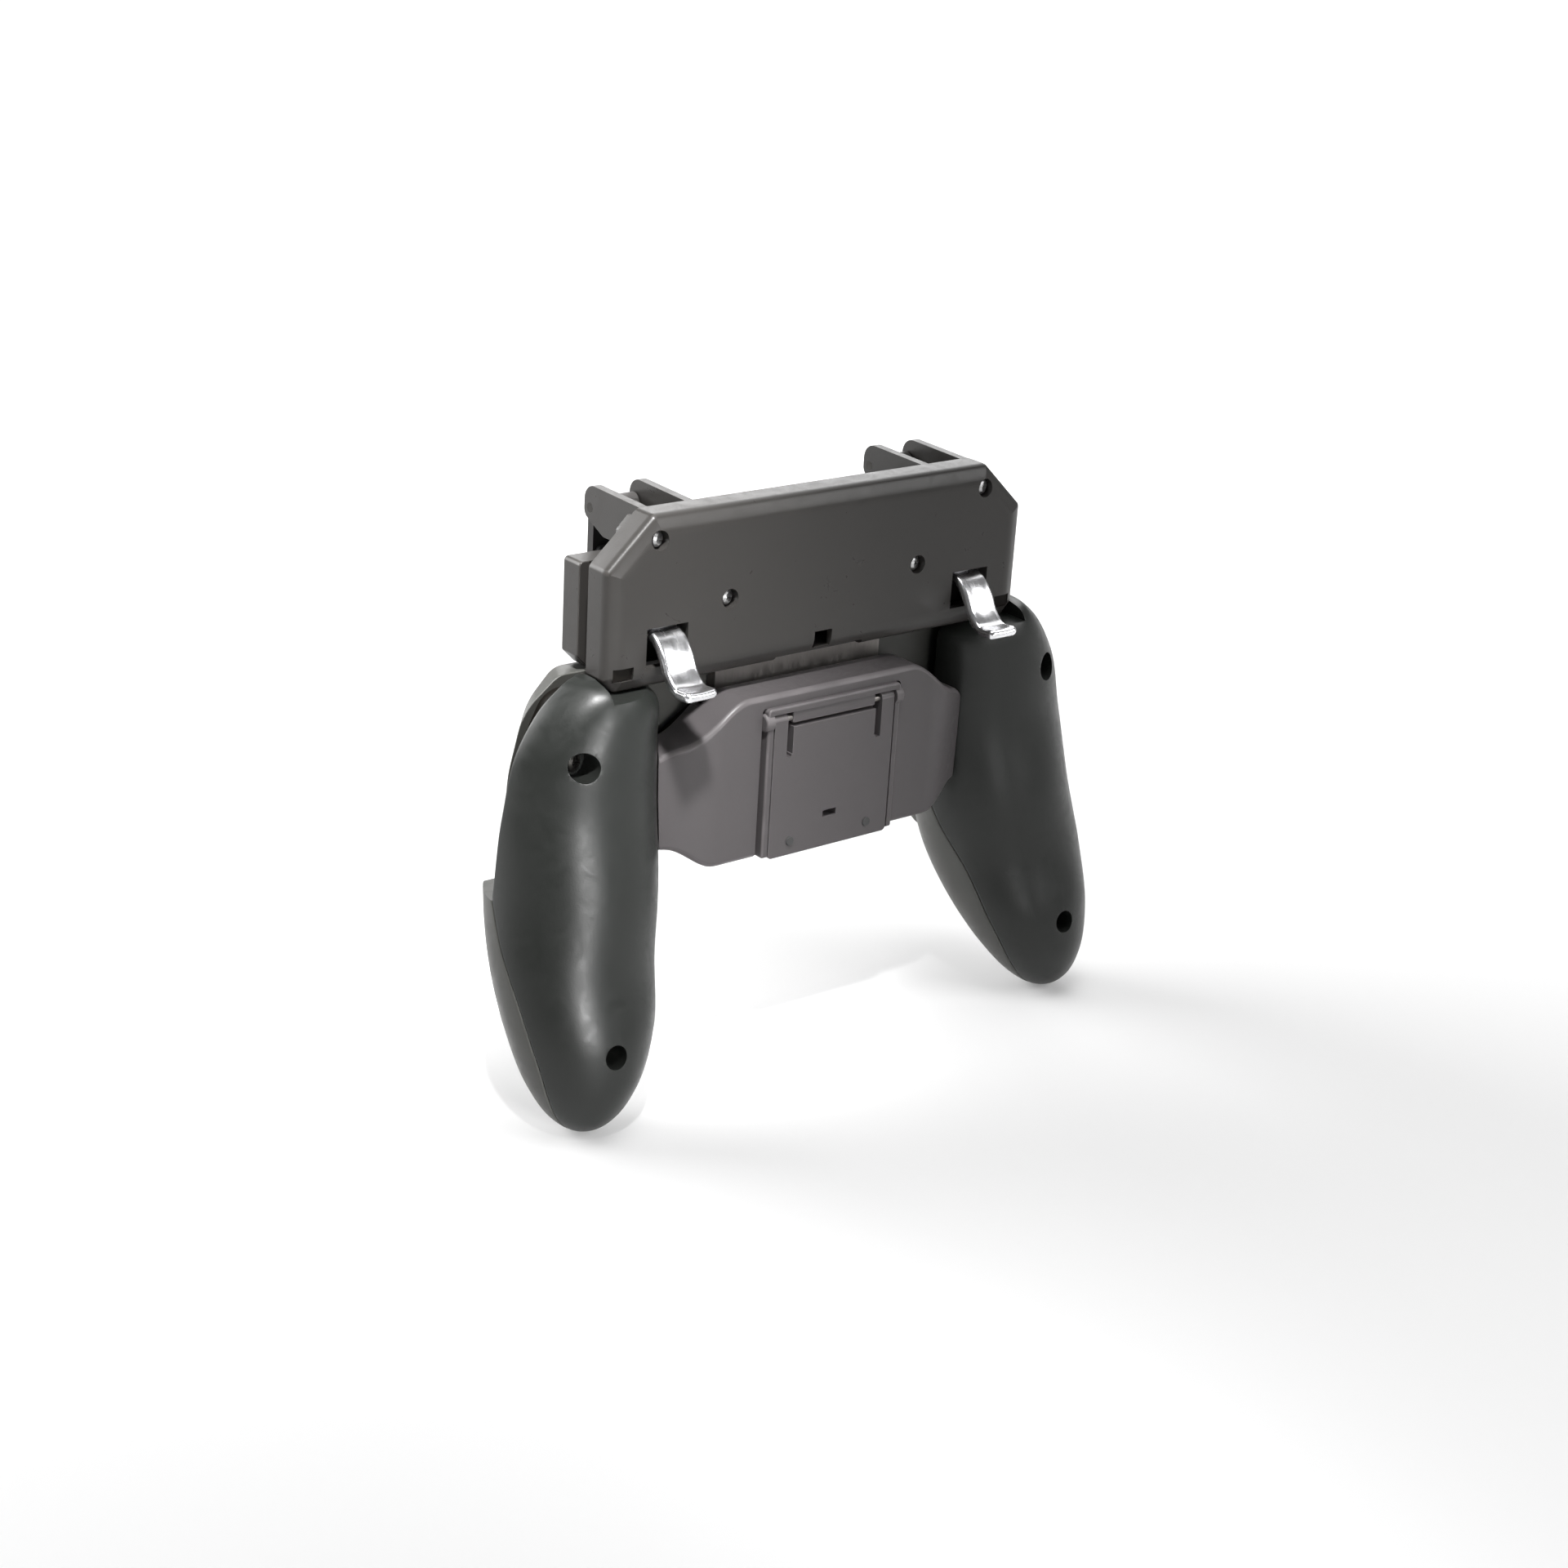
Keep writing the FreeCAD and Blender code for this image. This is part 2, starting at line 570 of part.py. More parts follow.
def kickstand_leaf():
    """Folding leg: a flat leaf with two hinge ears, flex slits and a finger slot."""
    front = HINGE_Y - LEAF_THICKNESS / 2
    rear = HINGE_Y + LEAF_THICKNESS / 2
    outline = [
        (LEAF_HALF_WIDTH, LEAF_BOTTOM, 1.0),
        (LEAF_HALF_WIDTH, HINGE_Z, 0),
        (-LEAF_HALF_WIDTH, HINGE_Z, 0),
        (-LEAF_HALF_WIDTH, LEAF_BOTTOM, 1.0),
    ]
    leaf = prism(outline, "XZ", front, rear)
    ear_start = HINGE_BLOCK_HALF_WIDTH + EAR_GAP
    leaf = leaf.cut(block(-ear_start, ear_start, 0, THROUGH, LEAF_TOP, THROUGH))
    ear = rod_x(LEAF_THICKNESS / 2, ear_start, LEAF_HALF_WIDTH, HINGE_Y, HINGE_Z)
    bore = rod_x(HINGE_PIN_RADIUS + RUNNING_FIT, ear_start - 1, LEAF_HALF_WIDTH - 0.3, HINGE_Y, HINGE_Z)
    slit = block(ear_start - EAR_GAP, ear_start, 0, THROUGH, FLEX_SLIT_BOTTOM, THROUGH)
    leaf = leaf.fuse(both_hands(ear))
    leaf = leaf.cut(both_hands(bore) + both_hands(slit))
    half_width = FINGER_SLOT_WIDTH / 2
    half_height = FINGER_SLOT_HEIGHT / 2
    slot = block(-half_width, half_width, 0, THROUGH, FINGER_SLOT_Z - half_height, FINGER_SLOT_Z + half_height)
    leaf = leaf.cut(slot)
    socket = rod_y(FOOT_RADIUS, rear - FOOT_DEPTH, rear + 1, *FOOT_PLACE)
    leaf = leaf.cut(both_hands(socket))
    return leaf.removeSplitter()


def kickstand_feet():
    """Two rubber dots near the free end of the leaf."""
    rear = HINGE_Y + LEAF_THICKNESS / 2
    one = rod_y(FOOT_RADIUS, rear - FOOT_DEPTH, rear + FOOT_RISE, *FOOT_PLACE)
    return Part.makeCompound(both_hands(one))


def return_spring():
    """Right-hand tension spring between the fixed post and the lug of the slide plate."""
    bottom = SPRING_POST_Z + LUG_RADIUS
    top = LUG_Z - LUG_RADIUS
    tube = rod_z(SPRING_OUTER_RADIUS, bottom, top, LUG_X, SPRING_Y)
    return tube.cut(rod_z(SPRING_OUTER_RADIUS - 2 * SPRING_WIRE, bottom, top, LUG_X, SPRING_Y))


def slide_plate():
    """Steel slide: a blade in the housing's channel and a head screwed into the carriage."""
    front = core_front + MOVING_GAP
    rear = core_rear - MOVING_GAP
    outline = mirrored([
        (SLIDE_HALF_WIDTH, SLIDE_BOTTOM, 2.0),
        (SLIDE_HALF_WIDTH, SLIDE_SHOULDER, 0),
        (SLIDE_HEAD_HALF_WIDTH, SLIDE_SHOULDER, 1.5),
        (SLIDE_HEAD_HALF_WIDTH, SLIDE_TOP, 3.0),
    ])
    plate = prism(outline, "XZ", front, rear)
    window = mirrored([
        (SLIDE_WINDOW_HALF_WIDTH, SLIDE_WINDOW_BOTTOM, 2.0),
        (SLIDE_WINDOW_HALF_WIDTH, SLIDE_WINDOW_TOP, 2.0),
    ])
    plate = plate.cut(prism(window, "XZ", front - 1, rear + 1))
    for side in (1, -1):
        plate = plate.fuse(rod_y(LUG_RADIUS, rear, SPRING_Y + 2.2, side * LUG_X, LUG_Z))
        plate = plate.cut(rod_y(SCREW_RADIUS, 0, THROUGH, side * MIDDLE_SCREW[0], MIDDLE_SCREW[1]))
    return plate


def mechanism_window(y0, y1):
    """Space for the right-hand lever and arm inside the carriage."""
    outer_x = SLOT_CENTRE_X + SLOT_WIDTH / 2 + 1.4
    return block(arm_x - arm_half_gap, outer_x, y0, y1, TRIGGER_PIVOT[1] - 5.6, plate_top + 1)


def carriage_core():
    """Dark core of the carriage between its front plate and the trigger box."""
    half = BOX_HALF_WIDTH - CORE_INSET
    bottom = PLATE_BOTTOM + SPLIT_GAP
    core = block(-half, half, core_front, core_rear, bottom, plate_top)
    slide = block(-SLIDE_HALF_WIDTH, SLIDE_HALF_WIDTH, 0, THROUGH, 0, SLIDE_SHOULDER + 1)
    head = block(-SLIDE_HEAD_HALF_WIDTH, SLIDE_HEAD_HALF_WIDTH, 0, THROUGH, SLIDE_SHOULDER, SLIDE_TOP)
    return core.cut([slide, head] + both_hands(mechanism_window(0, THROUGH))).removeSplitter()


def fin(x):
    """Ear that carries one end of a touch arm's pin."""
    outline = [
        (core_rear, FIN_TOP - 0.5, 0),
        (-FIN_REACH, FIN_TOP, FIN_TIP_RADIUS),
        (-FIN_REACH, FIN_BOTTOM + FIN_CHIN_RISE, 2.0),
        (-FIN_CHIN_REACH, FIN_BOTTOM, 2.0),
        (core_rear, FIN_BOTTOM, 0),
    ]
    return prism(outline, "YZ", x - FIN_THICKNESS / 2, x + FIN_THICKNESS / 2)


def fin_bracket():
    """Front of the trigger box above the rest face: four fins, the jaw and the bridges between them."""
    plate = prism(mirrored([
        (BRACKET_HALF_WIDTH, jaw_bottom, 0),
        (BRACKET_HALF_WIDTH, BRACKET_TOP - BRACKET_CHAMFER, 0),
        (BRACKET_HALF_WIDTH - BRACKET_CHAMFER, BRACKET_TOP, 0),
    ]), "XZ", core_front, core_rear)
    jaw = [
        (core_rear, jaw_bottom, 0),
        (core_rear, jaw_bottom + JAW_THICKNESS, 0),
        (-BAY_DEPTH - JAW_LIP_DEPTH, jaw_bottom + JAW_THICKNESS, 1.5),
        (-BAY_DEPTH - JAW_LIP_DEPTH, jaw_bottom - JAW_LIP_DROP, 0.6),
        (-BAY_DEPTH, jaw_bottom - JAW_LIP_DROP, 0.6),
        (-BAY_DEPTH, jaw_bottom, 0),
    ]
    parts = [prism(jaw, "YZ", -JAW_HALF_WIDTH, JAW_HALF_WIDTH)]
    for side in (1, -1):
        for x in (FIN_INNER_X, FIN_OUTER_X):
            parts.append(fin(side * x))
    arm_way = block(arm_x - arm_half_gap, arm_x + arm_half_gap, core_front - 1, core_rear + 1, 0, BRIDGE_BOTTOM)
    pin_reach = arm_half_gap + FIN_THICKNESS + 1
    pin = rod_x(PIVOT_PIN_RADIUS, arm_x - pin_reach, arm_x + pin_reach, *ARM_PIVOT)
    hole = rod_y(SCREW_RADIUS, core_front, THROUGH, *UPPER_SCREW)
    plate = plate.fuse(parts)
    return plate.cut(both_hands(arm_way) + both_hands(pin) + both_hands(hole)).removeSplitter()


def carriage_plate():
    """Front plate of the carriage: the upper rest face, with pockets for the levers behind it."""
    plate = prism(mirrored([
        (BOX_HALF_WIDTH - BOTTOM_CORNER, PLATE_BOTTOM, 0),
        (BOX_HALF_WIDTH, PLATE_BOTTOM + BOTTOM_CORNER, 0),
        (BOX_HALF_WIDTH, plate_top, 1.0),
    ]), "XZ", 0.0, core_front)
    pocket = mechanism_window(WALL, THROUGH)
    hole = rod_y(SCREW_RADIUS, WALL + 1, THROUGH, *MIDDLE_SCREW)
    return plate.cut(both_hands(pocket) + both_hands(hole)).removeSplitter()


def jaw_pad():
    """Rubber pad under the jaw."""
    half = JAW_HALF_WIDTH - 1.0
    return block(-half, half, PAD_MARGIN - BAY_DEPTH, -PAD_MARGIN, BAY_HALF_HEIGHT, jaw_bottom)


def ledge_pad():
    """Rubber pad on the right-hand ledge."""
    outline = [
        (LEDGE_INNER_X + 1.5, PAD_MARGIN - BAY_DEPTH, 1.0),
        (LEDGE_OUTER_X - 1.5, PAD_MARGIN - BAY_DEPTH, 1.0),
        (LEDGE_OUTER_X - 1.5, -PAD_MARGIN, 1.0),
        (LEDGE_INNER_X + 1.5, -PAD_MARGIN, 1.0),
    ]
    return prism(outline, "XY", ledge_top, -BAY_HALF_HEIGHT)


def rear_cover():
    """Trigger box: hollow cover with cut corners, trigger slots, screw recesses and pivot ribs."""
    flat_rear = box_rear - BEVEL_DEPTH
    edge = rounded_wire([corner + (0,) for corner in box_outline()], "XZ", flat_rear)
    face = rounded_wire([corner + (0,) for corner in inset(box_outline(), BEVEL_WIDTH)], "XZ", box_rear)
    outer = prism(box_outline(), "XZ", core_rear, flat_rear).fuse(Part.makeLoft([edge, face], True, True))
    cover = outer.cut(prism(inset(box_outline(), WALL), "XZ", core_rear - 1, box_inner_rear))
    adds = []
    cuts = []
    x, z = WITNESS_PLACE
    half_width = WITNESS_WIDTH / 2
    half_height = WITNESS_HEIGHT / 2
    cuts.append(block(x - half_width, x + half_width, box_rear - WITNESS_DEPTH, box_rear + 1,
                      z - half_height, z + half_height))
    cuts.append(block(SLOT_CENTRE_X - SLOT_WIDTH / 2, SLOT_CENTRE_X + SLOT_WIDTH / 2,
                      box_inner_rear - 1, box_rear + 1, SLOT_BOTTOM, SLOT_TOP))
    for x, z in (UPPER_SCREW, MIDDLE_SCREW):
        adds.append(rod_y(SCREW_BOSS_RADIUS, core_rear, box_inner_rear, x, z))
        cuts.append(rod_y(SCREW_RECESS_RADIUS, box_rear - SCREW_RECESS_DEPTH, box_rear + 1, x, z))
        cuts.append(rod_y(SCREW_RADIUS, core_rear - 1, box_rear, x, z))
    for x in rib_places():
        adds.append(block(x, x + PIVOT_RIB_THICKNESS, core_rear, box_inner_rear,
                          TRIGGER_PIVOT[1] - PIVOT_RIB_HALF_HEIGHT, TRIGGER_PIVOT[1] + PIVOT_RIB_HALF_HEIGHT))
    cuts.append(rod_x(PIVOT_PIN_RADIUS, pin_start(), pin_end(), *TRIGGER_PIVOT))
    cover = cover.fuse([shape for add in adds for shape in both_hands(add)])
    cover = cover.cut([shape for cut in cuts for shape in both_hands(cut)])
    half = NOTCH_WIDTH / 2
    cover = cover.cut(block(-half, half, box_inner_rear - 1, box_rear + 1, BOX_BOTTOM + WALL, NOTCH_TOP))
    half = THUMB_RECESS_WIDTH / 2
    recess = block(-half, half, box_rear - THUMB_RECESS_DEPTH, box_rear + 1, 0, BOX_BOTTOM + THUMB_RECESS_HEIGHT)
    return cover.cut(recess).removeSplitter()


def rib_places():
    """Inner X of the two ribs that hold a trigger's pin."""
    inner = SLOT_CENTRE_X - TRIGGER_WIDTH / 2 - SPRING_COIL_WIDTH - 0.5 - PIVOT_RIB_THICKNESS
    outer = SLOT_CENTRE_X + TRIGGER_WIDTH / 2 + 0.6
    return inner, outer


def pin_start():
    """Inner end of a trigger's pin."""
    return rib_places()[0]


def pin_end():
    """Outer end of a trigger's pin."""
    return rib_places()[1] + PIVOT_RIB_THICKNESS


def box_screws():
    """Four screws in the rear face of the trigger box."""
    parts = []
    seat = box_rear - SCREW_RECESS_DEPTH
    for (x, z), reach in ((UPPER_SCREW, core_front), (MIDDLE_SCREW, 2 * WALL)):
        parts += both_hands(screw(x, z, seat + SCREW_HEAD_HEIGHT, SCREW_HEAD_RADIUS, seat - reach))
    return Part.makeCompound(parts)


def blade_profile():
    """Side view of the trigger's blade: a curved path thickened to both sides, with a round tip."""
    path = Part.BSplineCurve()
    pivot_y, pivot_z = TRIGGER_PIVOT
    path.interpolate([Vector(0, pivot_y + y, pivot_z + z) for y, z in TRIGGER_BLADE_PATH])
    upper = []
    lower = []
    steps = 6
    for i in range(steps + 1):
        share = i / steps
        at = path.FirstParameter + share * (path.LastParameter - path.FirstParameter)
        here = path.value(at)
        along = Vector(*path.tangent(at)[0])
        side = Vector(0, -along.z, along.y)
        half = (TRIGGER_ROOT_THICKNESS * (1 - share) + TRIGGER_TIP_THICKNESS * share) / 2
        upper.append(here + side * half)
        lower.append(here - side * half)
    tip = path.value(path.LastParameter) + along * (TRIGGER_TIP_THICKNESS / 2)
    top_edge = Part.BSplineCurve()
    top_edge.interpolate(upper)
    low_edge = Part.BSplineCurve()
    low_edge.interpolate(list(reversed(lower)))
    edges = [
        top_edge.toShape(),
        Part.Arc(upper[-1], tip, lower[-1]).toShape(),
        low_edge.toShape(),
        Part.LineSegment(lower[0], upper[0]).toShape(),
    ]
    return Part.Face(Part.Wire(edges))


def contact_places():
    """Centres of the trigger's nose and of the arm's tail, either side of the point where they roll."""
    ty, tz = TRIGGER_PIVOT
    ay, az = ARM_PIVOT
    share = (ty - CONTACT_Y) / (ty - ay)
    contact_z = tz + share * (az - tz)
    run = math.hypot(ay - ty, az - tz)
    normal = ((az - tz) / run, (ty - ay) / run)
    reach = CONTACT_RADIUS + MOVING_GAP / 2
    nose = (CONTACT_Y - normal[0] * reach, contact_z - normal[1] * reach)
    tail = (CONTACT_Y + normal[0] * reach, contact_z + normal[1] * reach)
    return nose, tail


def link(points, width, x0, x1):
    """Bar of even width through points in Y and Z, with round joints."""
    parts = []
    for (y0, z0), (y1, z1) in zip(points, points[1:]):
        run = math.hypot(y1 - y0, z1 - z0)
        sy, sz = -(z1 - z0) / run * width / 2, (y1 - y0) / run * width / 2
        corners = [(y0 + sy, z0 + sz), (y0 - sy, z0 - sz), (y1 - sy, z1 - sz), (y1 + sy, z1 + sz)]
        parts.append(prism(corners, "YZ", x0, x1))
    for y, z in points:
        parts.append(rod_x(width / 2, x0, x1, y, z))
    return parts[0].fuse(parts[1:]).removeSplitter()


def trigger():
    """Right-hand lever: a curved finger blade, a hub on its pin and a nose inside the box."""
    x0 = SLOT_CENTRE_X - TRIGGER_WIDTH / 2
    x1 = SLOT_CENTRE_X + TRIGGER_WIDTH / 2
    blade = blade_profile().extrude(Vector(TRIGGER_WIDTH, 0, 0))
    blade.translate(Vector(x0, 0, 0))
    hub = rod_x(TRIGGER_HUB_RADIUS, x0, x1, *TRIGGER_PIVOT)
    nose_place = contact_places()[0]
    nose_x = x0 + 0.2
    nose = link([TRIGGER_PIVOT, nose_place], 2 * CONTACT_RADIUS, nose_x, nose_x + NOSE_WIDTH)
    lever = blade.fuse([hub, nose])
    bore = rod_x(PIVOT_PIN_RADIUS + RUNNING_FIT, x0 - 1, x1 + 1, *TRIGGER_PIVOT)
    return lever.cut(bore).removeSplitter()


def trigger_pin():
    """Right-hand lever's pin."""
    return rod_x(PIVOT_PIN_RADIUS, pin_start(), pin_end(), *TRIGGER_PIVOT)


def trigger_spring():
    """Coil of the right-hand lever's torsion spring, round its pin, with a leg on the rear wall."""
    x1 = SLOT_CENTRE_X - TRIGGER_WIDTH / 2 - 0.2
    x0 = x1 - SPRING_COIL_WIDTH
    y, z = TRIGGER_PIVOT
    coil = rod_x(SPRING_COIL_RADIUS, x0, x1, y, z)
    leg = block(x0, x0 + SPRING_LEG, y + SPRING_COIL_RADIUS - SPRING_LEG, box_inner_rear - 0.1,
                z - SPRING_LEG / 2, z + SPRING_LEG / 2)
    return coil.fuse(leg).cut(rod_x(PIVOT_PIN_RADIUS + 0.1, x0 - 1, x1 + 1, y, z)).removeSplitter()


def touch_arm():
    """Right-hand arm: it turns between two fins, with a tail over the trigger's nose."""
    x0 = arm_x - arm_half_gap + MOVING_GAP
    x1 = arm_x + arm_half_gap - MOVING_GAP
    pivot_y, pivot_z = ARM_PIVOT
    hub = rod_x(ARM_HUB_RADIUS, x0, x1, pivot_y, pivot_z)
    tail_place = contact_places()[1]
    tail_path = [ARM_PIVOT, ARM_ELBOW, (tail_place[0], pivot_z - ARM_WRIST_DROP), tail_place]
    tail = link(tail_path, 2 * CONTACT_RADIUS, x0 + 1.0, x1 - 1.0)
    drop_path = [ARM_PIVOT, (ARM_DROP_Y, pivot_z - ARM_KNEE_DROP), (ARM_DROP_Y, ARM_FOOT_Z + ARM_THICKNESS / 2)]
    drop = link(drop_path, ARM_THICKNESS, x0 + 0.6, x1 - 0.6)
    arm = hub.fuse([tail, drop])
    bore = rod_x(PIVOT_PIN_RADIUS + RUNNING_FIT, x0 - 1, x1 + 1, pivot_y, pivot_z)
    return arm.cut(bore).removeSplitter()


def touch_pad():
    """Right-hand conductive pad on the foot of the arm."""
    front = ARM_DROP_Y + ARM_THICKNESS / 2
    half = TOUCH_PAD_WIDTH / 2
    middle = ARM_FOOT_Z + 0.6 + TOUCH_PAD_HEIGHT / 2
    outline = [
        (arm_x + half, middle - TOUCH_PAD_HEIGHT / 2, 1.0),
        (arm_x + half, middle + TOUCH_PAD_HEIGHT / 2, 1.0),
        (arm_x - half, middle + TOUCH_PAD_HEIGHT / 2, 1.0),
        (arm_x - half, middle - TOUCH_PAD_HEIGHT / 2, 1.0),
    ]
    return prism(outline, "XZ", front, front + TOUCH_PAD_THICKNESS)


def touch_pin():
    """Right-hand arm's pin, flush with the fins."""
    x0 = FIN_INNER_X - FIN_THICKNESS / 2
    x1 = FIN_OUTER_X + FIN_THICKNESS / 2
    return rod_x(PIVOT_PIN_RADIUS, x0, x1, *ARM_PIVOT)


def build():
    """Make every node of the model, keyed by its name."""
    outer = handle(GRIP_STATIONS)
    hollow = handle(GRIP_STATIONS[2:-1], GRIP_WALL)
    clearance = handle(GRIP_STATIONS, -SPLIT_GAP).common(parting_tool(THROUGH))
    nodes = {
        "front_shell": front_shell(),
        "mid_frame": mid_frame(),
        "centre_rear_shell": centre_rear_shell(both_hands(clearance)),
        "grip_screws": grip_screws(),
        "kickstand_pins": kickstand_pins(),
        "kickstand_leaf": kickstand_leaf(),
        "kickstand_feet": kickstand_feet(),
        "slide_plate": slide_plate(),
        "carriage_core": carriage_core(),
        "carriage_plate": carriage_plate(),
        "fin_bracket": fin_bracket(),
        "jaw_pad": jaw_pad(),
        "trigger_box_cover": rear_cover(),
        "box_screws": box_screws(),
    }
    sided = {
        "grip_rear_shell": grip_rear_shell(outer, hollow),
        "grip_front_shell": grip_front_shell(outer, hollow),
        "ledge_pad": ledge_pad(),
        "return_spring": return_spring(),
        "trigger": trigger(),
        "trigger_pin": trigger_pin(),
        "trigger_spring": trigger_spring(),
        "touch_arm": touch_arm(),
        "touch_pad": touch_pad(),
        "touch_pin": touch_pin(),
    }
    for name, shape in sided.items():
        nodes["right_" + name] = shape
        nodes["left_" + name] = other_hand(shape)
    return nodes


def main():
    """Write one STEP file for each node."""
    os.makedirs("parts", exist_ok=True)
    for name, shape in build().items():
        shape.exportStep("parts/" + name + ".step")
        print(name, "solids", len(shape.Solids), "valid", shape.isValid(), "volume", round(shape.Volume, 1))


main()
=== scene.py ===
"""Looks of a two-handled clamp grip with finger triggers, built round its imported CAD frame.

Lengths are written in millimetres and turned into metres when a mesh is made. +X is the holder's right
hand, +Y points out of the back and +Z is up, as in the CAD frame.
"""

import logging
import math
from dataclasses import dataclass, field
from enum import Enum
from typing import Optional, Sequence

import bmesh
import bpy
import numpy as np
from mathutils import Matrix, Vector

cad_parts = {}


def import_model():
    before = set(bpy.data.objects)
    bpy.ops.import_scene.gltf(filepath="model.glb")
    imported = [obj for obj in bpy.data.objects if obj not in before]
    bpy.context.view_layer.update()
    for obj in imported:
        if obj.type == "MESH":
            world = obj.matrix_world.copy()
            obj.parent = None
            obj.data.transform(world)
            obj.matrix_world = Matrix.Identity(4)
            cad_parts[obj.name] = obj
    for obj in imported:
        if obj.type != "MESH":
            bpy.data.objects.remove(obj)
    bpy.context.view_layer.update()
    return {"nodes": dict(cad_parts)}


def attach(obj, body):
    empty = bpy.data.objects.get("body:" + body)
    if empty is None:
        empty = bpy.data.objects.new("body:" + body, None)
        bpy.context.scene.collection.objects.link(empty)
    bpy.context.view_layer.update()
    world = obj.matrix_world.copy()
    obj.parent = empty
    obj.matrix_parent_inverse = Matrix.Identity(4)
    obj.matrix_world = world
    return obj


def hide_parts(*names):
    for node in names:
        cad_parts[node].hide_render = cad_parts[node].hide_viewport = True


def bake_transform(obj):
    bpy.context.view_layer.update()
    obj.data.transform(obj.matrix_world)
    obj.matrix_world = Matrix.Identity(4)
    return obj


LOG = logging.getLogger("grip")
MM = 0.001
# Face attribute for the pale rounded edges, which are part wear and part painted highlight
EDGE_LAYER = "edge"
WHITE = (1.0, 1.0, 1.0, 1.0)

# Points closer than this become one: in a new mesh, and in a mended one before and after its rounding
DOUBLED = 0.004
BEFORE_ROUNDING = 0.02
AFTER_ROUNDING = 0.002

# Shortest edge of a new mesh, most sides of a hole that is closed, and least perimeter of a face in metres
SHORTEST = 0.002
PINHOLE_SIDES = 4
NEXT_TO_NOTHING = 1e-9

# Layers of the sandwich, front to rear
PLATE_REAR = 5.7
CORE_REAR = 8.9
BOX_REAR = 16.0
WALL = 1.6
GAP = 0.3

# Bay for the held device
BAY_HALF_HEIGHT = 35.6
BAY_DEPTH = 8.2
PAD_THICKNESS = 0.8
LEDGE_TOP = -BAY_HALF_HEIGHT - PAD_THICKNESS
PLATE_TOP = -LEDGE_TOP - GAP

# Joints and seats shared by several pieces
HINGE = (20.4, 0.9)
TRIGGER_PIVOT = (11.3, 24.6)
PARTING_TOP = -29.3

Point2 = tuple[float, float]
Point3 = tuple[float, float, float]
Points = Sequence[Sequence[float]]
Colour = tuple[float, float, float]
Input = float | Sequence[float] | bpy.types.NodeSocket


class Side(Enum):
    """Hand that a mirrored piece belongs to."""

    RIGHT = 1
    LEFT = -1

    @property
    def prefix(self) -> str:
        """First word of the names of this side's nodes and bodies."""
        return self.name.lower() + "_"

    def span(self, near: float, far: float) -> Point2:
        """Low and high x of a stretch from near to far on this side."""
        low, high = sorted((self.value * near, self.value * far))
        return low, high


class Plane(Enum):
    """Plane that an outline is drawn in; the outline is pushed along the third axis."""

    XZ = "XZ"
    YZ = "YZ"


class Cut(Enum):
    """What a tool solid does to its target."""

    ADD = "UNION"
    TAKE = "DIFFERENCE"


# Finishes


def shader_group(
    name: str, inputs: Sequence[tuple[str, str, float]], outputs: Sequence[str]
) -> bpy.types.NodeTree:
    """Start an empty shader node group.

    Args:
        name: Name of the group.
        inputs: Name, socket type and default of each input; a vector has no default.
        outputs: Names of the float outputs.

    Returns:
        The group, with its input and output nodes named "in" and "out".
    """
    group = bpy.data.node_groups.new(name, "ShaderNodeTree")
    for label, kind, default in inputs:
        socket = group.interface.new_socket(label, in_out="INPUT", socket_type=kind)
        if kind == "NodeSocketFloat":
            socket.default_value = default
    for label in outputs:
        group.interface.new_socket(label, in_out="OUTPUT", socket_type="NodeSocketFloat")
    group.nodes.new("NodeGroupInput").name = "in"
    group.nodes.new("NodeGroupOutput").name = "out"
    return group


def feed(tree: bpy.types.NodeTree, value: Input, socket: bpy.types.NodeSocket) -> None:
    """Link a socket to an input, or set the input to a number.

    Args:
        tree: Tree that the input belongs to.
        value: Number, row of numbers, or socket that gives it.
        socket: Input that takes it.
    """
    if isinstance(value, bpy.types.NodeSocket):
        tree.links.new(value, socket)
    else:
        socket.default_value = value


def feed_all(tree: bpy.types.NodeTree, node: bpy.types.Node, values: dict[str, Input]) -> None:
    """Link or set several inputs of a node.

    Args:
        tree: Tree that the node belongs to.
        node: Node whose inputs are filled.
        values: Number or socket for each named input.
    """
    for label, value in values.items():
        feed(tree, value, node.inputs[label])


def math_node(tree: bpy.types.NodeTree, operation: str, *values: Input) -> bpy.types.NodeSocket:
    """Add a calculation.

    Args:
        tree: Tree that gets the node.
        operation: What is calculated, such as MULTIPLY.
        values: Numbers or sockets, in the order of the node's inputs.

    Returns:
        Socket with the result.
    """
    node = tree.nodes.new("ShaderNodeMath")
    node.operation = operation
    for value, socket in zip(values, node.inputs):
        feed(tree, value, socket)
    return node.outputs["Value"]


def noise_node(
    tree: bpy.types.NodeTree,
    place: bpy.types.NodeSocket,
    scale: Input,
    detail: float,
    roughness: float,
    distortion: float = 0.0,
) -> bpy.types.NodeSocket:
    """Add a noise texture.

    Args:
        tree: Tree that gets the node.
        place: Socket with the coordinates.
        scale: Scale of the pattern.
        detail: Number of finer layers.
        roughness: Strength of the finer layers.
        distortion: How far the pattern is stirred.

    Returns:
        Socket with the pattern.
    """
    node = tree.nodes.new("ShaderNodeTexNoise")
    feed_all(tree, node, {"Vector": place, "Scale": scale, "Detail": detail})
    feed_all(tree, node, {"Roughness": roughness, "Distortion": distortion})
    return node.outputs["Fac"]


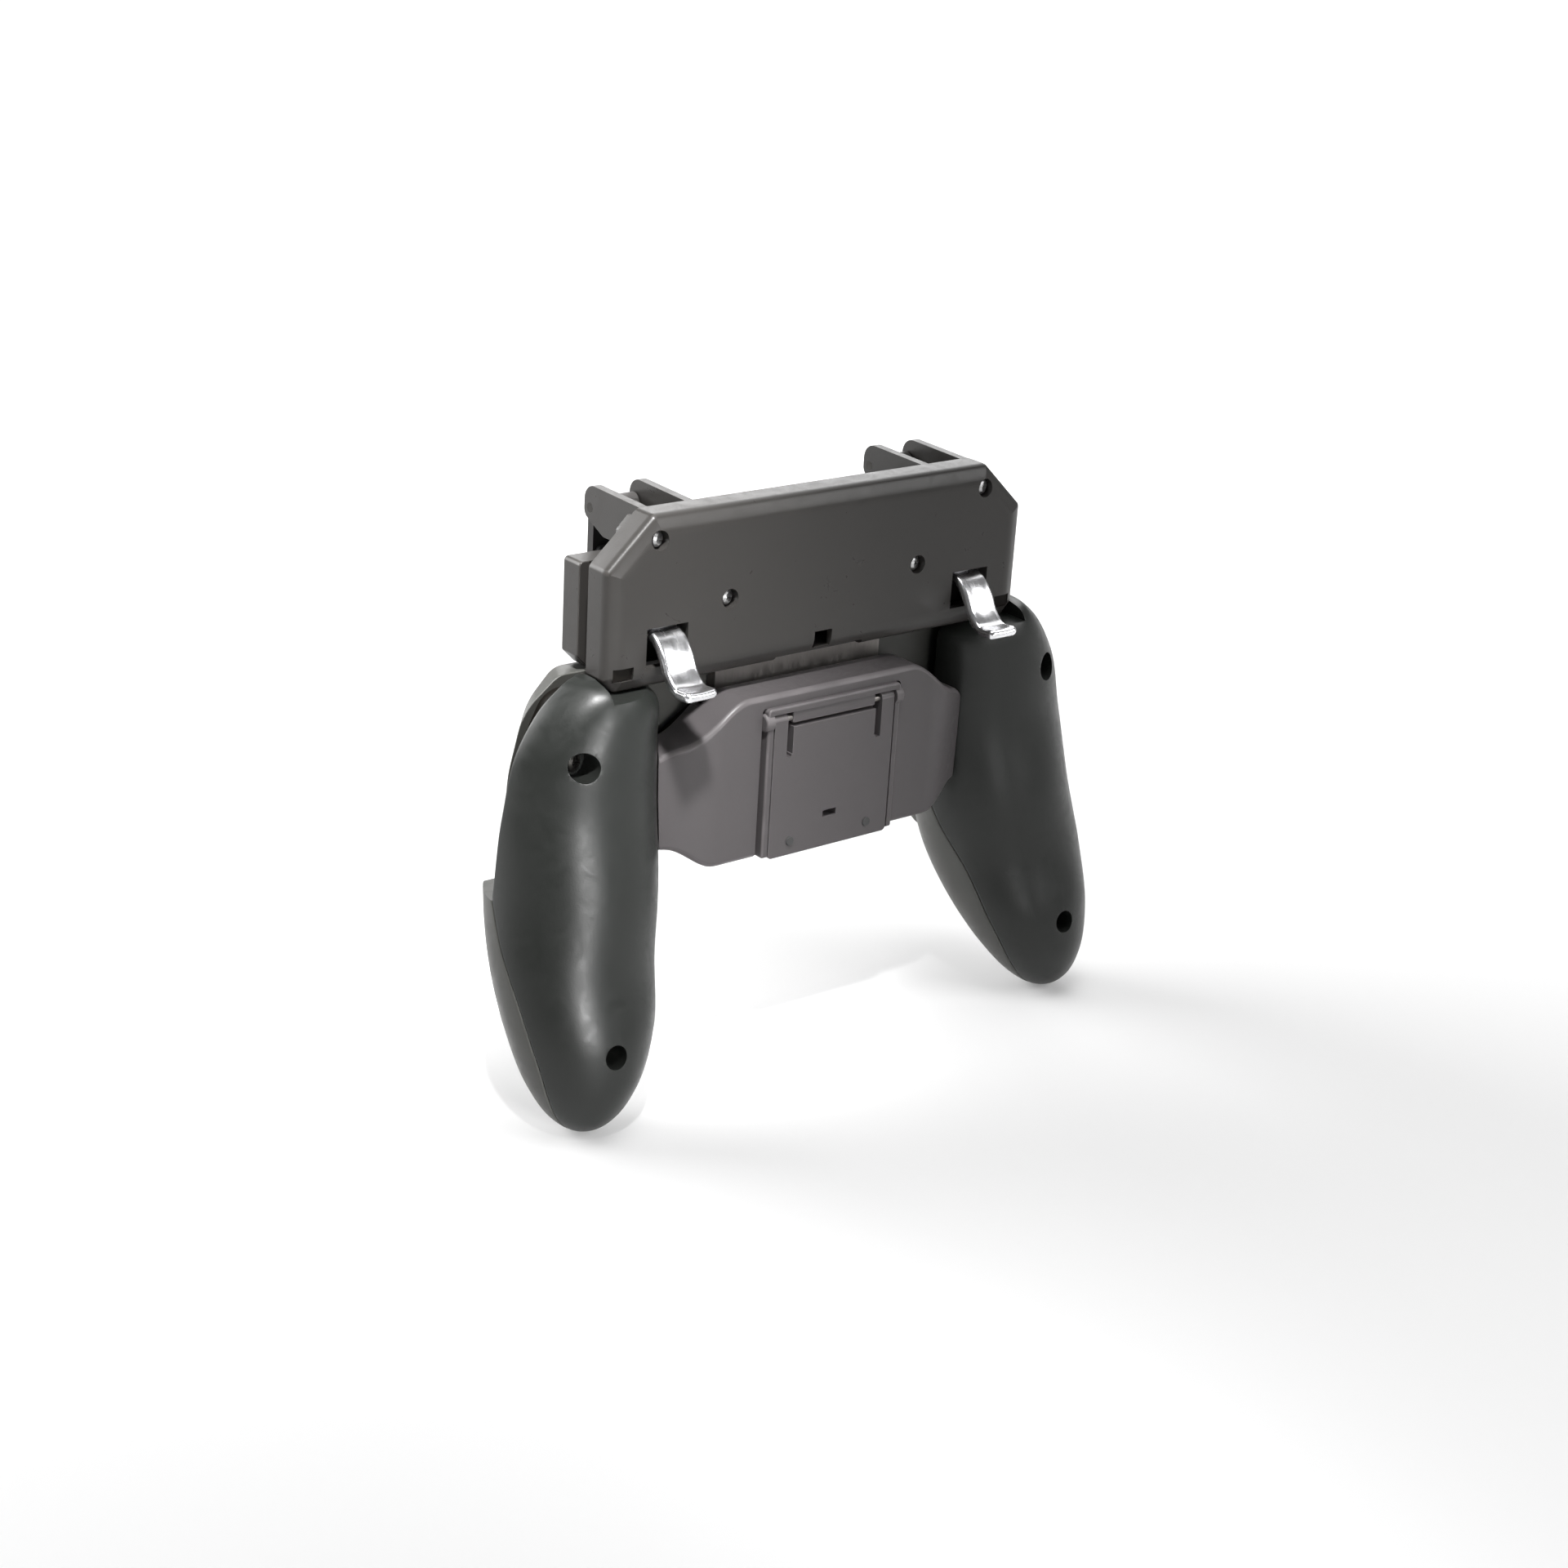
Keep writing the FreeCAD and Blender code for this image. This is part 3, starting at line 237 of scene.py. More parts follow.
def map_range(
    tree: bpy.types.NodeTree, value: bpy.types.NodeSocket, taken: Point2, given: Point2
) -> bpy.types.NodeSocket:
    """Add a node that maps one range of values to another.

    Args:
        tree: Tree that gets the node.
        value: Socket with the value.
        taken: Low and high end of what comes in.
        given: What these two ends become.

    Returns:
        Socket with the mapped value.
    """
    node = tree.nodes.new("ShaderNodeMapRange")
    feed_all(tree, node, {"Value": value, "From Min": taken[0], "From Max": taken[1]})
    feed_all(tree, node, {"To Min": given[0], "To Max": given[1]})
    return node.outputs["Result"]


def tinted(tree: bpy.types.NodeTree, colour: Colour, tone: bpy.types.NodeSocket) -> bpy.types.NodeSocket:
    """Add a node that makes a colour lighter or darker.

    Args:
        tree: Tree that gets the node.
        colour: Colour at a tone of 1.
        tone: Socket with the tone.

    Returns:
        Socket with the colour.
    """
    node = tree.nodes.new("ShaderNodeVectorMath")
    node.operation = "SCALE"
    node.inputs[0].default_value = colour
    feed_all(tree, node, {"Scale": tone})
    return node.outputs["Vector"]


def embossed(
    tree: bpy.types.NodeTree, height: bpy.types.NodeSocket, strength: float, depth: float
) -> bpy.types.NodeSocket:
    """Add a bump.

    Args:
        tree: Tree that gets the node.
        height: Socket with the relief.
        strength: Share of the relief that shows.
        depth: Depth of the relief in metres.

    Returns:
        Socket with the normal.
    """
    node = tree.nodes.new("ShaderNodeBump")
    feed_all(tree, node, {"Height": height, "Strength": strength, "Distance": depth})
    return node.outputs["Normal"]


def moulded_skin_group() -> bpy.types.NodeTree:
    """Group for moulded surfaces: fine spark-erosion grain, slow drift, handling marks, and pale edges that
    are part wear, part painted highlight.

    Returns:
        The group, which gives Height for a bump, Tone round 1 for the colour and Polish for the roughness.
    """
    name = "moulded_skin"
    if name in bpy.data.node_groups:
        return bpy.data.node_groups[name]
    inputs = [
        ("Vector", "NodeSocketVector", 0.0),
        ("Grain Scale", "NodeSocketFloat", 2600.0),
        ("Drift Scale", "NodeSocketFloat", 45.0),
        ("Drift", "NodeSocketFloat", 0.08),
        ("Edge", "NodeSocketFloat", 0.0),
        # Lightening of the rounded edges: part wear, part painted highlight
        ("Wear", "NodeSocketFloat", 0.5),
    ]
    group = shader_group(name, inputs, ["Height", "Tone", "Polish"])
    source = group.nodes["in"].outputs
    place = source["Vector"]
    grain = noise_node(group, place, source["Grain Scale"], detail=3.0, roughness=0.55)
    drift = noise_node(group, place, source["Drift Scale"], detail=4.0, roughness=0.6)
    centred = math_node(group, "SUBTRACT", drift, 0.5)
    spread = math_node(group, "MULTIPLY_ADD", centred, source["Drift"], 1.0)
    # Patchy pale rounded edges: part wear, part painted highlight
    patches = noise_node(group, place, scale=120.0, detail=2.0, roughness=0.5)
    patchy_wear_and_highlight = map_range(group, patches, taken=(0.35, 0.65), given=(0.35, 1.0))
    worn_and_lit_edges = math_node(group, "MULTIPLY", patchy_wear_and_highlight, source["Edge"])
    tone = math_node(group, "MULTIPLY_ADD", worn_and_lit_edges, source["Wear"], spread)
    marks = noise_node(group, place, scale=160.0, detail=6.0, roughness=0.7, distortion=1.5)
    feed_all(group, group.nodes["out"], {"Height": grain, "Tone": tone, "Polish": marks})
    return group


@dataclass(frozen=True)
class Finish:
    """Finish known by its name; one of this plain class is a material that the frame brings."""

    name: str

    def material(self) -> bpy.types.Material:
        """Return the material, built first where there is none of this name."""
        if self.name not in bpy.data.materials:
            material = bpy.data.materials.new(self.name)
            material.use_nodes = True
            tree = material.node_tree
            place = tree.nodes.new("ShaderNodeTexCoord").outputs["Object"]
            feed_all(tree, tree.nodes["Principled BSDF"], self.inputs(tree, place))
        return bpy.data.materials[self.name]

    def inputs(self, tree: bpy.types.NodeTree, place: bpy.types.NodeSocket) -> dict[str, Input]:
        """Add the finish's nodes; each kind that is built here has its own.

        Args:
            tree: The material's nodes.
            place: Socket with the coordinates on the object.

        Returns:
            Number or socket for each input of the shader.
        """
        raise NotImplementedError


@dataclass(frozen=True)
class Moulded(Finish):
    """Moulded plastic with a fine grain."""

    colour: Colour
    roughness: float
    roughness_spread: float = 0.08
    grain_scale: float = 2600.0
    grain_depth: float = 0.00002
    grain_strength: float = 0.6
    drift: float = 0.10
    wear: float = 0.6
    # How much rounded edges are lightened: part wear, part painted highlight
    specular: float = 0.25
    mark_range: Point2 = (0.3, 0.7)

    def inputs(self, tree: bpy.types.NodeTree, place: bpy.types.NodeSocket) -> dict[str, Input]:
        """Add grain, drift, marks and pale edges, which are part wear and part painted highlight.

        Args:
            tree: The material's nodes.
            place: Socket with the coordinates on the object.

        Returns:
            Number or socket for each input of the shader.
        """
        edges = tree.nodes.new("ShaderNodeAttribute")
        edges.attribute_name = EDGE_LAYER
        skin = tree.nodes.new("ShaderNodeGroup")
        skin.node_tree = moulded_skin_group()
        feed_all(tree, skin, {"Vector": place, "Edge": edges.outputs["Fac"]})
        feed_all(tree, skin, {"Grain Scale": self.grain_scale, "Drift": self.drift, "Wear": self.wear})
        polish = (self.roughness - self.roughness_spread, self.roughness + self.roughness_spread)
        return {
            "Base Color": tinted(tree, self.colour, skin.outputs["Tone"]),
            "Roughness": map_range(tree, skin.outputs["Polish"], self.mark_range, polish),
            "Normal": embossed(tree, skin.outputs["Height"], self.grain_strength, self.grain_depth),
            "Specular IOR Level": self.specular,
        }


@dataclass(frozen=True)
class Metal(Finish):
    """Polished or drawn metal with fine lines along one axis and faint smears."""

    colour: Colour
    roughness: float
    line_scale: float = 1600.0
    line_stretch: Point3 = (1.0, 0.2, 0.2)
    line_depth: float = 0.000008
    line_strength: float = 0.3
    smear_scale: float = 220.0
    smear_tone: Point2 = (0.93, 1.0)
    pattern_range: Point2 = (0.25, 0.75)
    smoothest: float = 0.7
    roughest: float = 1.5

    def inputs(self, tree: bpy.types.NodeTree, place: bpy.types.NodeSocket) -> dict[str, Input]:
        """Add the lines and the smears.

        Args:
            tree: The material's nodes.
            place: Socket with the coordinates on the object.

        Returns:
            Number or socket for each input of the shader.
        """
        mapping = tree.nodes.new("ShaderNodeMapping")
        feed_all(tree, mapping, {"Vector": place, "Scale": self.line_stretch})
        lines = noise_node(tree, mapping.outputs["Vector"], self.line_scale, detail=4.0, roughness=0.6)
        smears = noise_node(tree, place, self.smear_scale, detail=3.0, roughness=0.5)
        tone = map_range(tree, smears, self.pattern_range, self.smear_tone)
        rough = (self.roughness * self.smoothest, self.roughness * self.roughest)
        return {
            "Base Color": tinted(tree, self.colour, tone),
            "Roughness": map_range(tree, lines, self.pattern_range, rough),
            "Normal": embossed(tree, lines, self.line_strength, self.line_depth),
            "Metallic": 1.0,
        }


@dataclass(frozen=True)
class PaleGround(Finish):
    """Matt floor that glows more and more away from the camera."""

    colour: Colour
    roughness: float
    away: Point3 = (0.0, 0.0, 0.0)
    glow_run: Point2 = (0.10, 0.9)
    glow: Point2 = (0.2, 1.0)

    def inputs(self, tree: bpy.types.NodeTree, place: bpy.types.NodeSocket) -> dict[str, Input]:
        """Add the glow.

        Args:
            tree: The material's nodes.
            place: Socket with the coordinates on the object.

        Returns:
            Number or socket for each input of the shader.
        """
        distance = tree.nodes.new("ShaderNodeVectorMath")
        distance.operation = "DOT_PRODUCT"
        distance.inputs[1].default_value = self.away
        tree.links.new(place, distance.inputs[0])
        return {
            "Base Color": (*self.colour, 1.0),
            "Roughness": self.roughness,
            "Specular IOR Level": 0.0,
            "Emission Color": WHITE,
            "Emission Strength": map_range(tree, distance.outputs["Value"], self.glow_run, self.glow),
        }


GRIP_PLASTIC = Moulded("grip_satin_plastic", (0.0135, 0.0148, 0.0135), 0.38, specular=0.38)
# Lighter than the grip plastic: painted light on the front shells' outer flanks
FRONT_PLASTIC_PAINTED_LIGHT = Moulded("front_satin_plastic", (0.050, 0.050, 0.046), 0.42, specular=0.38)
COVER_PLASTIC = Moulded("centre_cover_plastic", (0.062, 0.057, 0.0585), 0.42)
BOX_PLASTIC = Moulded("trigger_box_plastic", (0.028, 0.0262, 0.0246), 0.34, specular=0.3)
CORE_PLASTIC = Moulded("dark_core_plastic", (0.006, 0.005, 0.004), 0.6, drift=0.2, wear=0.2, specular=0.1)
ARM_PLASTIC = Moulded("touch_arm_plastic", (0.040, 0.038, 0.037), 0.45)
BLACK_RUBBER = Finish("black_rubber")
POLISHED = Metal(
    "polished_trigger_metal",
    (0.97, 0.97, 0.99),
    0.22,
    line_scale=700.0,
    line_stretch=(1.0, 0.15, 0.15),
    line_depth=0.000001,
)
STEEL = Metal("drawn_steel", (0.50, 0.50, 0.50), 0.34)
# Near-black steel is painted shade: it darkens the grip screws deep in their wells and the touch pins' ends
# to the shade of a hole
STEEL_DARKENED_AS_SHADE = Metal("blackened_steel", (0.05, 0.048, 0.045), 0.5)
DARK_STEEL = Metal("browned_steel", (0.24, 0.225, 0.215), 0.42)


# Mesh tools


def put(name: str, data: bpy.types.ID) -> bpy.types.Object:
    """Put a mesh, a light or a camera in the scene as an object.

    Args:
        name: Name of the object.
        data: What it shows.

    Returns:
        The new object.
    """
    thing = bpy.data.objects.new(name, data)
    bpy.context.scene.collection.objects.link(thing)
    return thing


def plain_mesh(name: str, points: Points, faces: Sequence[Sequence[int]] = ()) -> bpy.types.Mesh:
    """Make a mesh.

    Args:
        name: Name of the mesh.
        points: Vertices in millimetres.
        faces: Vertex numbers of each face.

    Returns:
        The mesh, in metres.
    """
    metres = [tuple(float(v) * MM for v in point) for point in points]
    mesh = bpy.data.meshes.new(name)
    mesh.from_pydata(metres, [], [tuple(face) for face in faces])
    return mesh


def make_piece(name: str, points: Points, faces: Sequence[Sequence[int]]) -> bpy.types.Object:
    """Make an object whose place is in its mesh.

    Args:
        name: Name of the piece.
        points: Vertices in millimetres.
        faces: Vertex numbers of each face.

    Returns:
        The new object, merged and with its faces turned outwards.
    """
    piece = put(name, plain_mesh(name, points, faces))
    tidy_mesh(piece)
    return piece


def opened(mesh: bpy.types.Mesh) -> bmesh.types.BMesh:
    """Open a mesh for editing.

    Args:
        mesh: Mesh to read.

    Returns:
        Its points and faces; the caller frees them.
    """
    work = bmesh.new()
    work.from_mesh(mesh)
    return work


def weld(work: bmesh.types.BMesh, doubled: float, shortest: float) -> None:
    """Merge close points and drop the edges and faces that shrink to nothing.

    Args:
        work: Opened mesh.
        doubled: Points closer than this many millimetres become one.
        shortest: Edges shorter than this many millimetres are dropped.
    """
    bmesh.ops.remove_doubles(work, verts=work.verts, dist=doubled * MM)
    bmesh.ops.dissolve_degenerate(work, dist=shortest * MM, edges=work.edges)


def tidy_mesh(piece: bpy.types.Object, dissolve: float = 0.0) -> None:
    """Merge doubled points, drop empty faces and turn the faces outwards.

    Args:
        piece: Object to tidy.
        dissolve: Angle in degrees below which neighbouring faces become one, or 0.
    """
    work = opened(piece.data)
    weld(work, DOUBLED, SHORTEST)
    if dissolve:
        limit = math.radians(dissolve)
        bmesh.ops.dissolve_limit(
            work, angle_limit=limit, verts=work.verts, edges=work.edges, use_dissolve_boundaries=False
        )
    bmesh.ops.recalc_face_normals(work, faces=work.faces)
    work.to_mesh(piece.data)
    work.free()


def mend_mesh(piece: bpy.types.Object, distance: float) -> None:
    """Merge close points, drop the faces that shrink to nothing and close the pinholes that are left.

    Args:
        piece: Object to mend.
        distance: Points closer than this many millimetres become one.
    """
    work = opened(piece.data)
    weld(work, distance, distance)
    bmesh.ops.holes_fill(work, edges=work.edges, sides=PINHOLE_SIDES)
    work.to_mesh(piece.data)
    work.free()


def bake(piece: bpy.types.Object) -> None:
    """Turn a piece's modifiers into plain mesh.

    Args:
        piece: Object with modifiers.
    """
    graph = bpy.context.evaluated_depsgraph_get()
    mesh = bpy.data.meshes.new_from_object(piece.evaluated_get(graph))
    old = piece.data
    piece.modifiers.clear()
    piece.data = mesh
    bpy.data.meshes.remove(old)


def drop(piece: bpy.types.Object) -> None:
    """Delete a tool solid with its mesh.

    Args:
        piece: Object that is no longer needed.
    """
    mesh = piece.data
    bpy.data.objects.remove(piece)
    bpy.data.meshes.remove(mesh)


def join(name: str, pieces: Sequence[bpy.types.Object]) -> bpy.types.Object:
    """Put several pieces into one object and delete them.

    Args:
        name: Name of the joined piece.
        pieces: Objects at the origin.

    Returns:
        The joined object.
    """
    work = bmesh.new()
    for piece in pieces:
        work.from_mesh(piece.data)
    mesh = bpy.data.meshes.new(name)
    work.to_mesh(mesh)
    work.free()
    for piece in pieces:
        drop(piece)
    return put(name, mesh)


def carve(target: bpy.types.Object, cut: Cut, *tools: bpy.types.Object) -> None:
    """Add or take the space of the tool solids, which are then deleted.

    Args:
        target: Object that changes.
        cut: What the tools do to it.
        tools: Solids at the origin.
    """
    tool = join("tool", tools)
    modifier = target.modifiers.new("carve", "BOOLEAN")
    modifier.operation = cut.value
    modifier.solver = "EXACT"
    modifier.object = tool
    bake(target)
    drop(tool)


def ease_edges(
    piece: bpy.types.Object, width: float, angle: float = 40.0, segments: int = 3, mend: bool = False
) -> None:
    """Round the edges that turn by more than an angle.

    Args:
        piece: Object to finish.
        width: Width of the rounding in millimetres.
        angle: Smallest turn in degrees that is rounded.
        segments: Faces across the rounding.
        mend: Whether close points are merged first, for a piece whose cuts leave no room for a rounding.
            The dense skins of the handles are not mended, because merging tears them.
    """
    if mend:
        mend_mesh(piece, BEFORE_ROUNDING)
    modifier = piece.modifiers.new("ease", "BEVEL")
    modifier.width = width * MM
    modifier.segments = segments
    modifier.limit_method = "ANGLE"
    modifier.angle_limit = math.radians(angle)
    modifier.use_clamp_overlap = True
    modifier.miter_outer = "MITER_ARC"
    bake(piece)
    if mend:
        mend_mesh(piece, AFTER_ROUNDING)


def shade(piece: bpy.types.Object, angle: float = 32.0, weighted: bool = True) -> None:
    """Smooth the shading except across sharp turns.

    Args:
        piece: Object to finish.
        angle: Turn in degrees from which an edge stays sharp.
        weighted: Whether large flat faces pull the normals straight.
    """
    piece.data.shade_smooth()
    piece.data.set_sharp_from_angle(angle=math.radians(angle))
    if weighted:
        modifier = piece.modifiers.new("weigh", "WEIGHTED_NORMAL")
        modifier.keep_sharp = True
        bake(piece)


def mark_edges(piece: bpy.types.Object, widest: float = 0.5, least: float = 8.0, full: float = 14.0) -> None:
    """Store on each face how much it is part of a rounded outer edge, for the pale edges in its material:
    part wear, part painted highlight.

    Args:
        piece: Finished piece.
        widest: Faces wider than this many millimetres are not edges.
        least: Turn in degrees on both sides of a face up to which it is no edge.
        full: Turn in degrees that counts as a full edge.
    """

    def turn(edge: bmesh.types.BMEdge) -> float:
        """Turn across an edge, positive outwards and 0 at an open edge."""
        return edge.calc_face_angle_signed(0.0)

    work = opened(piece.data)
    values = []
    for face in work.faces:
        width = 2 * face.calc_area() / max(face.calc_perimeter(), NEXT_TO_NOTHING)
        first, second = sorted(face.edges, key=turn, reverse=True)[:2]
        strip = width < widest * MM and not set(first.verts) & set(second.verts)
        share = (math.degrees(turn(second)) - least) / (full - least)
        values.append(min(1.0, max(0.0, share)) if strip else 0.0)
    work.free()
    layer = piece.data.attributes.new(EDGE_LAYER, "FLOAT", "FACE")
    layer.data.foreach_set("value", values)


def mirrored_copy(piece: bpy.types.Object, name: str) -> bpy.types.Object:
    """Copy a right-hand piece to the left hand.

    Args:
        piece: Piece to copy.
        name: Name of the copy.

    Returns:
        The copy, with its faces turned outwards again.
    """
    mesh = piece.data.copy()
    mesh.transform(Matrix.Scale(-1.0, 4, Vector((1, 0, 0))))
    mesh.flip_normals()
    return put(name, mesh)


def dress(piece: bpy.types.Object, finish: Finish, body: str, slot: str, *nodes: str) -> None:
    """Give a finished piece its material, its body and the CAD nodes that it stands for.

    Args:
        piece: Finished piece.
        finish: Finish of its whole surface.
        body: Body that it moves with.
        slot: Material slot of the frame; not used.
        nodes: CAD nodes that it replaces, if any.
    """
    piece.data.materials.clear()
    piece.data.materials.append(finish.material())
    if isinstance(finish, Moulded):
        mark_edges(piece)
    if nodes:
        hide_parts(*nodes)
    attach(piece, body)
    LOG.info("%s: %d faces on %s", piece.name, len(piece.data.polygons), body)


def refined(node: str, name: str, width: float, dissolve: float = 0.6) -> bpy.types.Object:
    """Copy a CAD node with its edges rounded.

    Args:
        node: CAD node whose shape is right.
        name: Name of the new piece.
        width: Width of the rounding in millimetres.
        dissolve: Angle in degrees below which faces are joined first.

    Returns:
        The new piece, still without material.
    """
    mesh = bpy.data.objects[node].data.copy()
    mesh.name = name
    mesh.materials.clear()
    piece = put(name, mesh)
    if mesh.has_custom_normals:
        bpy.context.view_layer.objects.active = piece
        bpy.ops.mesh.customdata_custom_splitnormals_clear()
    tidy_mesh(piece, dissolve)
    ease_edges(piece, width, 35.0, 3)
    shade(piece)
    return piece


def place(plane: Plane, u: float, v: float, w: float) -> Point3:
    """Point of a plane at distance w along its normal."""
    return (u, w, v) if plane is Plane.XZ else (w, u, v)


@dataclass
class Outline:
    """Closed polygon with rounded corners, anticlockwise: (u, v, radius) in millimetres."""

    corners: list[Point3]
    steps: int = 6

    @classmethod
    def mirrored(cls, right: Sequence[Point3], steps: int = 6) -> "Outline":
        """Outline that is the same on both sides.

        Args:
            right: Its right-hand corners, bottom to top.
            steps: Sides across each rounded corner.

        Returns:
            The whole outline.
        """
        left = [(-u, v, radius) for u, v, radius in reversed(right)]
        return cls(list(right) + left, steps)

    def inset(self, distance: float, smallest: float = 0.05) -> "Outline":
        """Outline moved inwards.

        Args:
            distance: How far each side moves, in millimetres.
            smallest: Least radius left at a rounded corner.

        Returns:
            The new outline, with as many sampled points as this one.
        """
        moved = []
        count = len(self.corners)
        for i in range(count):
            before, here, after = self.corners[i - 1], self.corners[i], self.corners[(i + 1) % count]
            rows = []
            for a, b in ((before, here), (here, after)):
                run = math.hypot(b[0] - a[0], b[1] - a[1])
                normal = (-(b[1] - a[1]) / run, (b[0] - a[0]) / run)
                rows.append((*normal, normal[0] * a[0] + normal[1] * a[1] + distance))
            (a1, b1, c1), (a2, b2, c2) = rows
            det = a1 * b2 - a2 * b1
            radius = max(here[2] - distance, smallest) if here[2] else 0.0
            moved.append(((c1 * b2 - c2 * b1) / det, (a1 * c2 - a2 * c1) / det, radius))
        return Outline(moved, self.steps)

    def points(self) -> list[Point2]:
        """Sampled points, with steps + 1 on each rounded corner."""
        found = []
        count = len(self.corners)
        for i in range(count):
            here = Vector(self.corners[i][:2])
            radius = self.corners[i][2]
            back = (Vector(self.corners[i - 1][:2]) - here).normalized()
            ahead = (Vector(self.corners[(i + 1) % count][:2]) - here).normalized()
            if not radius:
                found.append((here.x, here.y))
                continue
            half = back.angle(ahead) / 2
            start = here + back * (radius / math.tan(half))
            end = here + ahead * (radius / math.tan(half))
            centre = here + (back + ahead).normalized() * (radius / math.sin(half))
            first = start - centre
            turn = (end - centre).angle_signed(first)
            for k in range(self.steps + 1):
                spoke = first.copy()
                spoke.rotate(Matrix.Rotation(turn * k / self.steps, 2))
                found.append((centre.x + spoke.x, centre.y + spoke.y))
        return found


def skin(name: str, rings: Sequence[Points]) -> bpy.types.Object:
    """Close a solid over rings, with a flat cap at each end.

    Args:
        name: Name of the solid.
        rings: Rings with equal numbers of points, in millimetres.

    Returns:
        The solid.
    """
    count = len(rings[0])
    points = [point for ring in rings for point in ring]
    faces: list[list[int]] = []
    for row in range(len(rings) - 1):
        for k in range(count):
            following = (k + 1) % count
            low, high = row * count, (row + 1) * count
            faces.append([low + k, low + following, high + following, high + k])
    faces.append(list(range(count)))
    faces.append([(len(rings) - 1) * count + k for k in range(count)])
    return make_piece(name, points, faces)


def plate(name: str, outline: Outline, plane: Plane, profile: Sequence[Point2]) -> bpy.types.Object:
    """Push an outline along the normal of its plane.

    Args:
        name: Name of the solid.
        outline: Outline where the inset is 0.
        plane: Plane that it is drawn in.
        profile: Inset and depth of each ring in turn.

    Returns:
        The solid.
    """
    rings = []
    for inset, depth in profile:
        shape = outline.inset(inset) if inset else outline
        rings.append([place(plane, u, v, depth) for u, v in shape.points()])
    return skin(name, rings)


def straight(start: float, stop: float) -> list[Point2]:
    """Profile with plain edges from one depth to another."""
    return [(0.0, start), (0.0, stop)]


def round_profile(
    start: float, stop: float, radius_start: float, radius_stop: float, steps: int = 4
) -> list[Point2]:
    """Profile of a plate from start to stop with quarter rounds at its two faces.

    Args:
        start: Depth of the first face in millimetres.
        stop: Depth of the last face, beyond start.
        radius_start: Radius at the first face, or 0.
        radius_stop: Radius at the last face, or 0.
        steps: Faces across each round.

    Returns:
        Pairs of inset and depth.
    """
    found: list[Point2] = []
    for k in range(steps + 1 if radius_start else 1):
        angle = math.pi / 2 * k / steps if radius_start else math.pi / 2
        found.append((radius_start * (1 - math.sin(angle)), start + radius_start * (1 - math.cos(angle))))
    for k in range(steps + 1 if radius_stop else 1):
        angle = math.pi / 2 * (1 - k / steps) if radius_stop else math.pi / 2
        found.append((radius_stop * (1 - math.sin(angle)), stop - radius_stop * (1 - math.cos(angle))))
    return found


def bar(name: str, low: Sequence[float], high: Sequence[float]) -> bpy.types.Object:
    """Box between two corners; a cutter's free ends lie well outside what it cuts.

    Args:
        name: Name of the box.
        low: Corner with the smallest coordinates, in millimetres.
        high: Corner with the largest.

    Returns:
        The box.
    """
    (left, front, bottom), (right, rear, top) = low, high
    corners = [(left, bottom, 0.0), (right, bottom, 0.0), (right, top, 0.0), (left, top, 0.0)]
    return plate(name, Outline(corners), Plane.XZ, straight(front, rear))


def turned(
    name: str, radius: float, plane: Plane, centre: Point2, profile: Sequence[Point2], sides: int = 40
) -> bpy.types.Object:
    """Round solid along the normal of a plane.

    Args:
        name: Name of the solid.
        radius: Radius where the inset is 0, in millimetres.
        plane: Plane across its axis.
        centre: Where the axis meets the plane.
        profile: Inset and depth of each ring in turn.
        sides: Sides of its cross-section.

    Returns:
        The solid.
    """
    angles = [2 * math.pi * k / sides for k in range(sides)]
    rings = []
    for inset, depth in profile:
        reach = radius - inset
        ring = [(centre[0] + reach * math.cos(a), centre[1] + reach * math.sin(a)) for a in angles]
        rings.append([place(plane, u, v, depth) for u, v in ring])
    return skin(name, rings)


def spline(knots: Sequence[float], values: np.ndarray, at: np.ndarray) -> np.ndarray:
    """Smooth curve through values.

    Args:
        knots: Rising parameters of the values.
        values: One row of numbers for each knot.
        at: Parameters to read the curve at.

    Returns:
        One row for each parameter.
    """
    knots = np.asarray(knots, float)
    values = np.asarray(values, float)
    slopes = np.gradient(values, knots, axis=0)
    cell = np.clip(np.searchsorted(knots, at) - 1, 0, len(knots) - 2)
    width = (knots[cell + 1] - knots[cell])[:, None]
    t = ((at - knots[cell])[:, None]) / width
    first = (2 * t**3 - 3 * t**2 + 1) * values[cell] + (t**3 - 2 * t**2 + t) * width * slopes[cell]
    last = (-2 * t**3 + 3 * t**2) * values[cell + 1] + (t**3 - t**2) * width * slopes[cell + 1]
    return first + last


# Sub-assemblies


